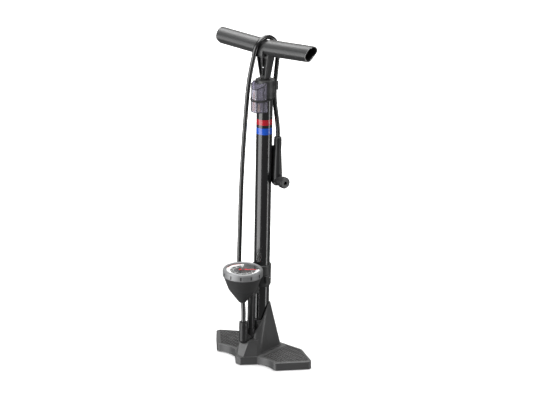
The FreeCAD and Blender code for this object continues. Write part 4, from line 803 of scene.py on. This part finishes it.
# %% Tread pads
PAD_OUTLINE = [(0.038, 0.044), (0.0742, 0.044), (0.1245, 0.011), (0.077, -0.0405),
               (0.056, -0.036), (0.038, -0.037)]
PAD_BOTTOM, PAD_TOP, RIB_CREST = 0.0164, 0.0173, 0.0186
RIB_PITCH, RIB_R = 0.0060, 0.0011
RIB_SWAY, RIB_WAVE, RIB_LEAN = 0.0013, 0.013, -0.13
RIB_MARGIN = 0.0016
RIBS_FROM, RIBS_TO = 0.030, 0.140      # where the lines cross y = 0
LINE_START, LINE_STEP, LINE_POINTS = -0.042, 0.0005, 180
SHORTEST_LINE = 8                      # points a rib needs to be worth drawing


def inside(x, y, outline):
    """True where a point is inside an outline."""
    hit = False
    for (x1, y1), (x2, y2) in zip(outline, outline[1:] + outline[:1]):
        if (y1 > y) != (y2 > y) and x < x1 + (y - y1) * (x2 - x1) / (y2 - y1):
            hit = not hit
    return hit


def well_inside(x, y):
    """True where a rib keeps its margin from the pad's edge."""
    around = [(RIB_MARGIN * math.cos(a), RIB_MARGIN * math.sin(a)) for a in even_angles(8)]
    return all(inside(x + dx, y + dy, PAD_OUTLINE) for dx, dy in around)


def rib_lines(side):
    """Swaying lines over one pad; side is 1 for the right and -1 for the left."""
    lines = []
    start = RIBS_FROM
    while start < RIBS_TO:
        line = []
        for step in range(LINE_POINTS):
            y = LINE_START + step * LINE_STEP
            sway = RIB_SWAY * math.sin(math.tau * y / RIB_WAVE)
            x = start + RIB_LEAN * y + sway
            if well_inside(x, y):
                line.append((side * x, y, RIB_CREST - RIB_R))
        if len(line) > SHORTEST_LINE:
            lines.append(line)
        start += RIB_PITCH
    return lines


for side, word in ((1, "right"), (-1, "left")):
    outline = [(side * x, y) for x, y in PAD_OUTLINE]
    pad = plate("tread_plate", outline, PAD_BOTTOM, PAD_TOP, TREAD, 0.0004)
    ribs = grow("tread_ribs", chains("rib_lines", rib_lines(side)), SWEEP, Radius=RIB_R,
                Step=0.0012, Sides=10, Finish=TREAD)
    mesh = joined("tread_" + word, pad, ribs)
    show("tread_" + word, mesh, "base", "tread_plastic", "tread_pad_" + word)
    print(word, "tread:", len(rib_lines(side)), "ribs,", len(mesh.polygons), "faces")

# %% [markdown]
# ## The gauge's bezel
# The bezel is a turned ring of silvery plastic.  Twelve notches round its side
# give the fingers a hold, and their floors carry painted shade.  One panel between
# two notches is a little darker.
# The ring is spun from a profile, with extra angles at each notch so its walls
# stay steep, and the notches are pushed in as the ring is spun.

# %% Bezel
GAUGE_X, GAUGE_Y = 0.0, -0.063
NOTCHES, FIRST_NOTCH = 12, -55.5
NOTCH_HALF, NOTCH_DEPTH = math.radians(1.9), 0.0011
NOTCH_LOW, NOTCH_HIGH = 0.2034, 0.2108
PANEL_SPAN = (5.0, 25.0)       # degrees from the first notch
SIDE_R, SIDE_INNER = 0.0425, 0.040
BEZEL_PROFILE = [(0.0370, 0.2000), (0.0406, 0.2000), (0.0417, 0.2004), (0.0423, 0.2012),
                 (0.0425, 0.2022), (0.0425, 0.2033), (0.0425, 0.2035), (0.0425, 0.2107),
                 (0.0425, 0.2109), (0.0424, 0.2120), (0.0420, 0.2134), (0.0413, 0.2147),
                 (0.0405, 0.2156), (0.0397, 0.2160), (0.0382, 0.2160), (0.0372, 0.2158),
                 (0.0362, 0.2154), (0.0355, 0.2150), (0.0370, 0.2150), (0.0370, 0.2135),
                 (0.0355, 0.2135), (0.0355, 0.2110), (0.0370, 0.2110)]


def notch_angles():
    """Middle angle of each notch."""
    return [math.radians(FIRST_NOTCH + i * 360.0 / NOTCHES) for i in range(NOTCHES)]


def bezel_angles():
    """Even angles, with four more at the walls of each notch."""
    slope = math.radians(0.25)
    angles = []
    for middle in notch_angles():
        for edge in (-NOTCH_HALF - slope, -NOTCH_HALF, NOTCH_HALF, NOTCH_HALF + slope):
            angles.append((middle + edge) % math.tau)
    for angle in even_angles(144):
        if all(abs((angle - other + math.pi) % math.tau - math.pi) > slope for other in angles):
            angles.append(angle)
    return sorted(angles)


def notch_dent(angle, height):
    """How far the ring's side is pushed in at an angle and a height."""
    if not NOTCH_LOW < height < NOTCH_HIGH:
        return 0.0
    away = min(abs((angle - m + math.pi) % math.tau - math.pi) for m in notch_angles())
    return NOTCH_DEPTH if away < NOTCH_HALF + 1e-4 else 0.0


# The notch floors get a dark grey as painted shade; the panel's grey is its printed label.
PAINTED_NOTCH_SHADE = moulded("bezel_notch_painted_shade", (0.05, 0.05, 0.052), (0.075, 0.075, 0.077), 0.45)
PANEL_GREY = moulded("bezel_panel", (0.13, 0.132, 0.135), (0.16, 0.162, 0.165), 0.5)


def shade_recesses(mesh):
    """Paint shade on the floors of the notches, and give the panel its darker label finish."""
    low, high = (math.radians(FIRST_NOTCH + turn) for turn in PANEL_SPAN)
    mesh.materials.append(PAINTED_NOTCH_SHADE)
    mesh.materials.append(PANEL_GREY)
    for face in mesh.polygons:
        middle = face.center
        radius = math.hypot(middle.x, middle.y)
        face.use_smooth = True
        if NOTCH_LOW < middle.z < NOTCH_HIGH and radius > SIDE_INNER:
            if radius < SIDE_R - 0.4 * NOTCH_DEPTH:
                face.material_index = 1
            elif low < math.atan2(middle.y, middle.x) < high:
                face.material_index = 2


def crisp(mesh, degrees=35.0):
    """Smooth shading that keeps edges sharper than an angle crisp."""
    shape = bmesh.new()
    shape.from_mesh(mesh)
    for face in shape.faces:
        face.smooth = True
    for edge in shape.edges:
        edge.smooth = edge.calc_face_angle(0.0) < math.radians(degrees)
    shape.to_mesh(mesh)
    shape.free()
    return mesh


bezel = turned("gauge_bezel_ring", BEZEL_PROFILE, bezel_angles(), SILVER, notch_dent)
shade_recesses(bezel)
bezel.transform(Matrix.Translation((GAUGE_X, GAUGE_Y, 0)))
show("gauge_bezel_ring", crisp(bezel), "base", "bezel_silver", "gauge_bezel")
print("bezel:", len(bezel.polygons), "faces,", NOTCHES, "notches")

# %% [markdown]
# ## The gauge's dial
# The dial is printed: a white scale round a black middle, black ticks on the
# white, and plain numbers inside.  The prints are thin solid pieces just above
# the dial, so they stay crisp from close by.  The rider reads the gauge from
# behind the pump, so the numbers stand that way up.

# %% Dial prints
DIAL_TOP = 0.2110
SCALE_START, SCALE_TURN, SCALE_STEPS = 42.0, -270.0, 8
PRINT = 0.00012                # thickness of a print
SCALE_BAND, DANGER_BAND, INNER_LINE = (0.0268, 0.0350), (0.0340, 0.0350), (0.0196, 0.0199)
SCALE_MARGIN, DANGER_FROM = 6, 0.76
OUTER_NUMBERS, INNER_NUMBERS = (0.0236, 0.0046), (0.0166, 0.0034)   # radius and size


def print_ink(name, colour):
    """Matt ink with a faint unevenness."""
    return moulded(name, colour, tuple(min(1.0, 1.06 * v + 0.004) for v in colour), 0.5,
                   grain=2500.0, depth=0.00002, scuffed=0.0, dust_and_light_amount=0.0)


WHITE_INK = print_ink("dial_white", (0.80, 0.80, 0.79))
BLACK_INK = print_ink("dial_black", (0.008, 0.008, 0.009))
RED_INK = print_ink("dial_red", (0.60, 0.01, 0.02))


def arc_plate(name, inner, outer, low, high, start, end, finish, steps=96):
    """Flat band between two radii and two angles in degrees."""
    angles = [math.radians(start + (end - start) * i / steps) for i in range(steps + 1)]
    shape = bmesh.new()
    rows = []
    for a in angles:
        c, s = math.cos(a), math.sin(a)
        rows.append([shape.verts.new((r * c, r * s, z))
                     for r, z in ((inner, low), (outer, low), (outer, high), (inner, high))])
    for this, after in zip(rows, rows[1:]):
        for i in range(4):
            j = (i + 1) % 4
            shape.faces.new((this[i], this[j], after[j], after[i]))
    shape.faces.new(rows[0])
    shape.faces.new(list(reversed(rows[-1])))
    mesh = bpy.data.meshes.new(name)
    bmesh.ops.recalc_face_normals(shape, faces=shape.faces)
    shape.to_mesh(mesh)
    shape.free()
    mesh.materials.append(finish)
    return outward(mesh)


def number(value, angle, radius, size, finish):
    """A number lying on the dial, upright for a reader behind the pump."""
    text = bpy.data.curves.new("number_%s" % value, "FONT")
    text.body = str(value)
    text.size = size
    text.align_x, text.align_y = "CENTER", "CENTER"
    text.extrude = PRINT / 2
    text.resolution_u = 3
    holder = bpy.data.objects.new("number", text)
    bpy.context.scene.collection.objects.link(holder)
    ready = holder.evaluated_get(bpy.context.evaluated_depsgraph_get())
    mesh = bpy.data.meshes.new_from_object(ready)
    bpy.data.objects.remove(holder)
    a = math.radians(angle)
    place = Matrix.Translation((radius * math.cos(a), radius * math.sin(a), DIAL_TOP + PRINT))
    mesh.transform(place @ Matrix.Rotation(math.pi, 4, "Z"))
    mesh.materials.clear()
    mesh.materials.append(finish)
    return mesh


def dial_prints():
    """All the dial's prints as one mesh."""
    low, high = DIAL_TOP, DIAL_TOP + PRINT
    top = high + PRINT / 2
    step = SCALE_TURN / SCALE_STEPS
    parts = [
        arc_plate("scale", *SCALE_BAND, low, high, SCALE_START + SCALE_MARGIN,
                  SCALE_START + SCALE_TURN - SCALE_MARGIN, WHITE_INK, 180),
        arc_plate("danger", *DANGER_BAND, high, top, SCALE_START + SCALE_TURN,
                  SCALE_START + SCALE_TURN * DANGER_FROM, RED_INK),
        arc_plate("inner_line", *INNER_LINE, low, high, SCALE_START,
                  SCALE_START + SCALE_TURN, WHITE_INK, 180),
        bars("long_ticks", SCALE_STEPS + 1, 0.0298, top, (0.0056, 0.0009, PRINT), BLACK_INK,
             SCALE_START, step),
        bars("short_ticks", SCALE_STEPS * 5 + 1, 0.0283, top, (0.0026, 0.0004, PRINT), BLACK_INK,
             SCALE_START, step / 5),
        bars("inner_ticks", SCALE_STEPS * 2 + 1, 0.0206, low + PRINT, (0.0018, 0.0005, PRINT),
             WHITE_INK, SCALE_START, step / 2),
    ]
    for i in range(SCALE_STEPS + 1):
        parts.append(number(20 * i, SCALE_START + step * i, *OUTER_NUMBERS, WHITE_INK))
    for i in range(0, SCALE_STEPS + 1, 2):
        parts.append(number(i // 2 * 3, SCALE_START + step * i, *INNER_NUMBERS, WHITE_INK))
    return joined("dial_prints", *parts)


prints = dial_prints()
prints.transform(Matrix.Translation((GAUGE_X, GAUGE_Y, 0)))
show("dial_prints", prints, "base", "dial_print")
HUB_PROFILE = [(0.0001, 0.2133), (0.0001, 0.2116), (0.0040, 0.2116), (0.0042, 0.2120),
               (0.0041, 0.2127), (0.0034, 0.2132)]
hub = turned("needle_hub_cap", HUB_PROFILE, even_angles(32), BLACK_INK)
hub.transform(Matrix.Translation((GAUGE_X, GAUGE_Y, 0)))
show("needle_hub_cap", crisp(hub), "gauge_needle", "dial_print")
print("dial prints:", len(prints.polygons), "faces")

# %% [markdown]
# ## The head and its nut
# The nut that clamps the hose in the head is ribbed so fingers can turn it, and
# so is the collar of the valve port.  The same ring of bars serves both: round the
# nut it stands upright, and round the collar it is tipped over onto the port's
# axis.

# %% Ribs on the nut and the collar
PORT_AXIS_Z = 0.396
HEAD_TURN = math.radians(-14.0)


def middle_of(part):
    """Middle and size of a piece's box."""
    low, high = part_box(part)
    return ([(a + b) / 2 for a, b in zip(low, high)], [b - a for a, b in zip(low, high)])


RIB_SUNK = 0.0002              # how far a rib's middle lies under the surface
NUT_RIBS, NUT_RIB_SHARE, NUT_RIB_DROP = 24, 0.64, 0.001
nut, nut_size = middle_of("head_nut")
nut_ribs = bars("nut_ribs", NUT_RIBS, nut_size[0] / 2 - RIB_SUNK, nut[2] - NUT_RIB_DROP,
                (0.0010, 0.0011, NUT_RIB_SHARE * nut_size[2]), HEAD_BLACK)
nut_ribs.transform(Matrix.Translation((nut[0], nut[1], 0)))
show("nut_ribs", nut_ribs, "base", "head_plastic")

COLLAR_RIBS = 30
COLLAR_R, COLLAR_NEAR, COLLAR_FAR = 0.0120, 0.0195, 0.0268
collar_ribs = bars("collar_ribs", COLLAR_RIBS, COLLAR_R - RIB_SUNK,
                   (COLLAR_NEAR + COLLAR_FAR) / 2,
                   (0.0009, 0.0012, COLLAR_FAR - COLLAR_NEAR), HEAD_BLACK)
tip_over = Matrix.Rotation(math.pi / 2, 4, "Y")
face_out = Matrix.Rotation(HEAD_TURN, 4, "Z")
collar_ribs.transform(Matrix.Translation((nut[0], nut[1], PORT_AXIS_Z)) @ face_out @ tip_over)
show("collar_ribs", collar_ribs, "base", "head_plastic")
print("ribs:", NUT_RIBS, "on the nut,", COLLAR_RIBS, "on the collar")

# %% [markdown]
# ## Ribs on the cap
# The cap that closes the barrel has upright grip ribs in two bands, because it is
# screwed on by hand.  The ribs stop short of the case in front and of the clip at
# the back.

# %% Grip ribs round the cap
CAP_RADIUS, CAP_RIBS = 0.0206, 10
CAP_RIB, CAP_RIB_SUNK = (0.0008, 0.0013, 0.0085), 0.0001
RIBS_RIGHT, RIBS_LEFT, RIBS_APART = -32.0, 150.0, 7.0      # degrees
cap_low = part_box("barrel_cap")[0][2]
CAP_ROWS = (cap_low + 0.0065, cap_low + 0.0290)
cap_ribs = joined("cap_ribs", *[bars("ribs", CAP_RIBS, CAP_RADIUS - CAP_RIB_SUNK, level,
                                     CAP_RIB, CASING, start, RIBS_APART)
                                for level in CAP_ROWS for start in (RIBS_RIGHT, RIBS_LEFT)])
show("cap_ribs", cap_ribs, "base", "moulded_plastic")
print("cap ribs:", len(cap_ribs.polygons) // 6)

# %% [markdown]
# ## The accessory case
# The case's clear cover has thicker edges, which read as dark lines.  They are
# paths round its faces, swept into thin dark rods by the same tree that makes the
# hose.

# %% Edges of the case
case_low, case_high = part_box("case_cover")
CASE_SLANT, CASE_ROOF_RISE, ROOF_DEPTH = 0.0100, 0.0130, 0.0175
EDGE_R, EDGE_INSET = 0.0009, 0.00054
# Near-black rods along the cover's edges.
CASE_EDGE_DARK = moulded("case_edge", (0.006, 0.0055, 0.008), (0.012, 0.011, 0.016), 0.35)


def case_corners(level):
    """Corners of the case's front at a height, left to right."""
    x, y = case_high[0] - EDGE_INSET, case_low[1] + EDGE_INSET
    return [(-x, y + CASE_SLANT, level), (CASE_SLANT - x, y, level), (x - CASE_SLANT, y, level),
            (x, y + CASE_SLANT, level)]


def roof_level(y):
    """Height of the case's sloped roof at a distance from the pump's axis."""
    slope = CASE_ROOF_RISE / ROOF_DEPTH
    return case_high[2] - CASE_ROOF_RISE + slope * (y - case_low[1]) - EDGE_INSET


def case_edges():
    """Paths along the edges of the case."""
    bottom = case_corners(case_low[2] + EDGE_R)
    top = [(x, y, roof_level(y)) for x, y, _ in bottom]
    ridge_y = case_low[1] + ROOF_DEPTH
    ridge = [(top[0][0], ridge_y, roof_level(ridge_y)), (top[3][0], ridge_y, roof_level(ridge_y))]
    uprights = [[low, high] for low, high in zip(bottom, top)]
    return uprights + [bottom, top, [top[0], ridge[0], ridge[1], top[3]]]


edges = grow("case_edges", chains("case_lines", case_edges()), SWEEP, Radius=EDGE_R, Step=0.0012,
             Sides=10, Finish=CASE_EDGE_DARK)
show("case_edges", edges, "base", "smoke_clear")
print("case edges:", len(edges.polygons), "faces")

# %% [markdown]
# ## Painted highlights at the handle's ends
# The handle is a hollow bar, open at both ends.  A thin pale rod runs round
# each opening as a painted highlight on its rim.  Its path is read from the bar's
# own end face, so it always fits.

# %% Painted highlights on the handle's rims
RIM_HIGHLIGHT_R, RIM_HIGHLIGHT_STEPS, RIM_HIGHLIGHT_INWARD = 0.0008, 60, 0.0010
END_FACING, END_BEYOND = 0.6, 0.09      # how an end face is told from the rest of the bar


def end_outline(side):
    """Outline of the handle's slanted end face, ordered round the bar."""
    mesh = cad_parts["handle_bar"].data
    faces = [p for p in mesh.polygons
             if side * p.normal.x > END_FACING and side * p.center.x > END_BEYOND]
    normal = sum((p.normal * p.area for p in faces), Vector()).normalized()
    points = [mesh.vertices[i].co for i in {i for p in faces for i in p.vertices}]
    middle = sum(points, Vector()) / len(points)
    farthest = {}
    for point in points:
        away = point - middle
        step = round(math.atan2(away.z, away.y) * RIM_HIGHLIGHT_STEPS / math.tau) % RIM_HIGHLIGHT_STEPS
        if away.length > farthest.get(step, Vector()).length:
            farthest[step] = away
    line = []
    for step in sorted(farthest):
        away = farthest[step]
        line.append(middle + away - away.normalized() * RIM_HIGHLIGHT_INWARD - normal * (0.6 * RIM_HIGHLIGHT_R))
    return [tuple(point) for point in line + line[:1]]


# Pale grey rods along the rims of the openings are a painted highlight.
RIM_HIGHLIGHT_GREY = moulded("handle_rim_painted_highlight", (0.62, 0.62, 0.62), (0.75, 0.75, 0.75), 0.3)
rim_highlights = grow("handle_rim_highlights", chains("rim_highlight_lines", [end_outline(1), end_outline(-1)]), SWEEP,
            Radius=RIM_HIGHLIGHT_R, Step=0.0012, Sides=8, Finish=RIM_HIGHLIGHT_GREY)
show("handle_rim_highlights", rim_highlights, "handle", "moulded_plastic")
print("handle lips:", len(rim_highlights.polygons), "faces")
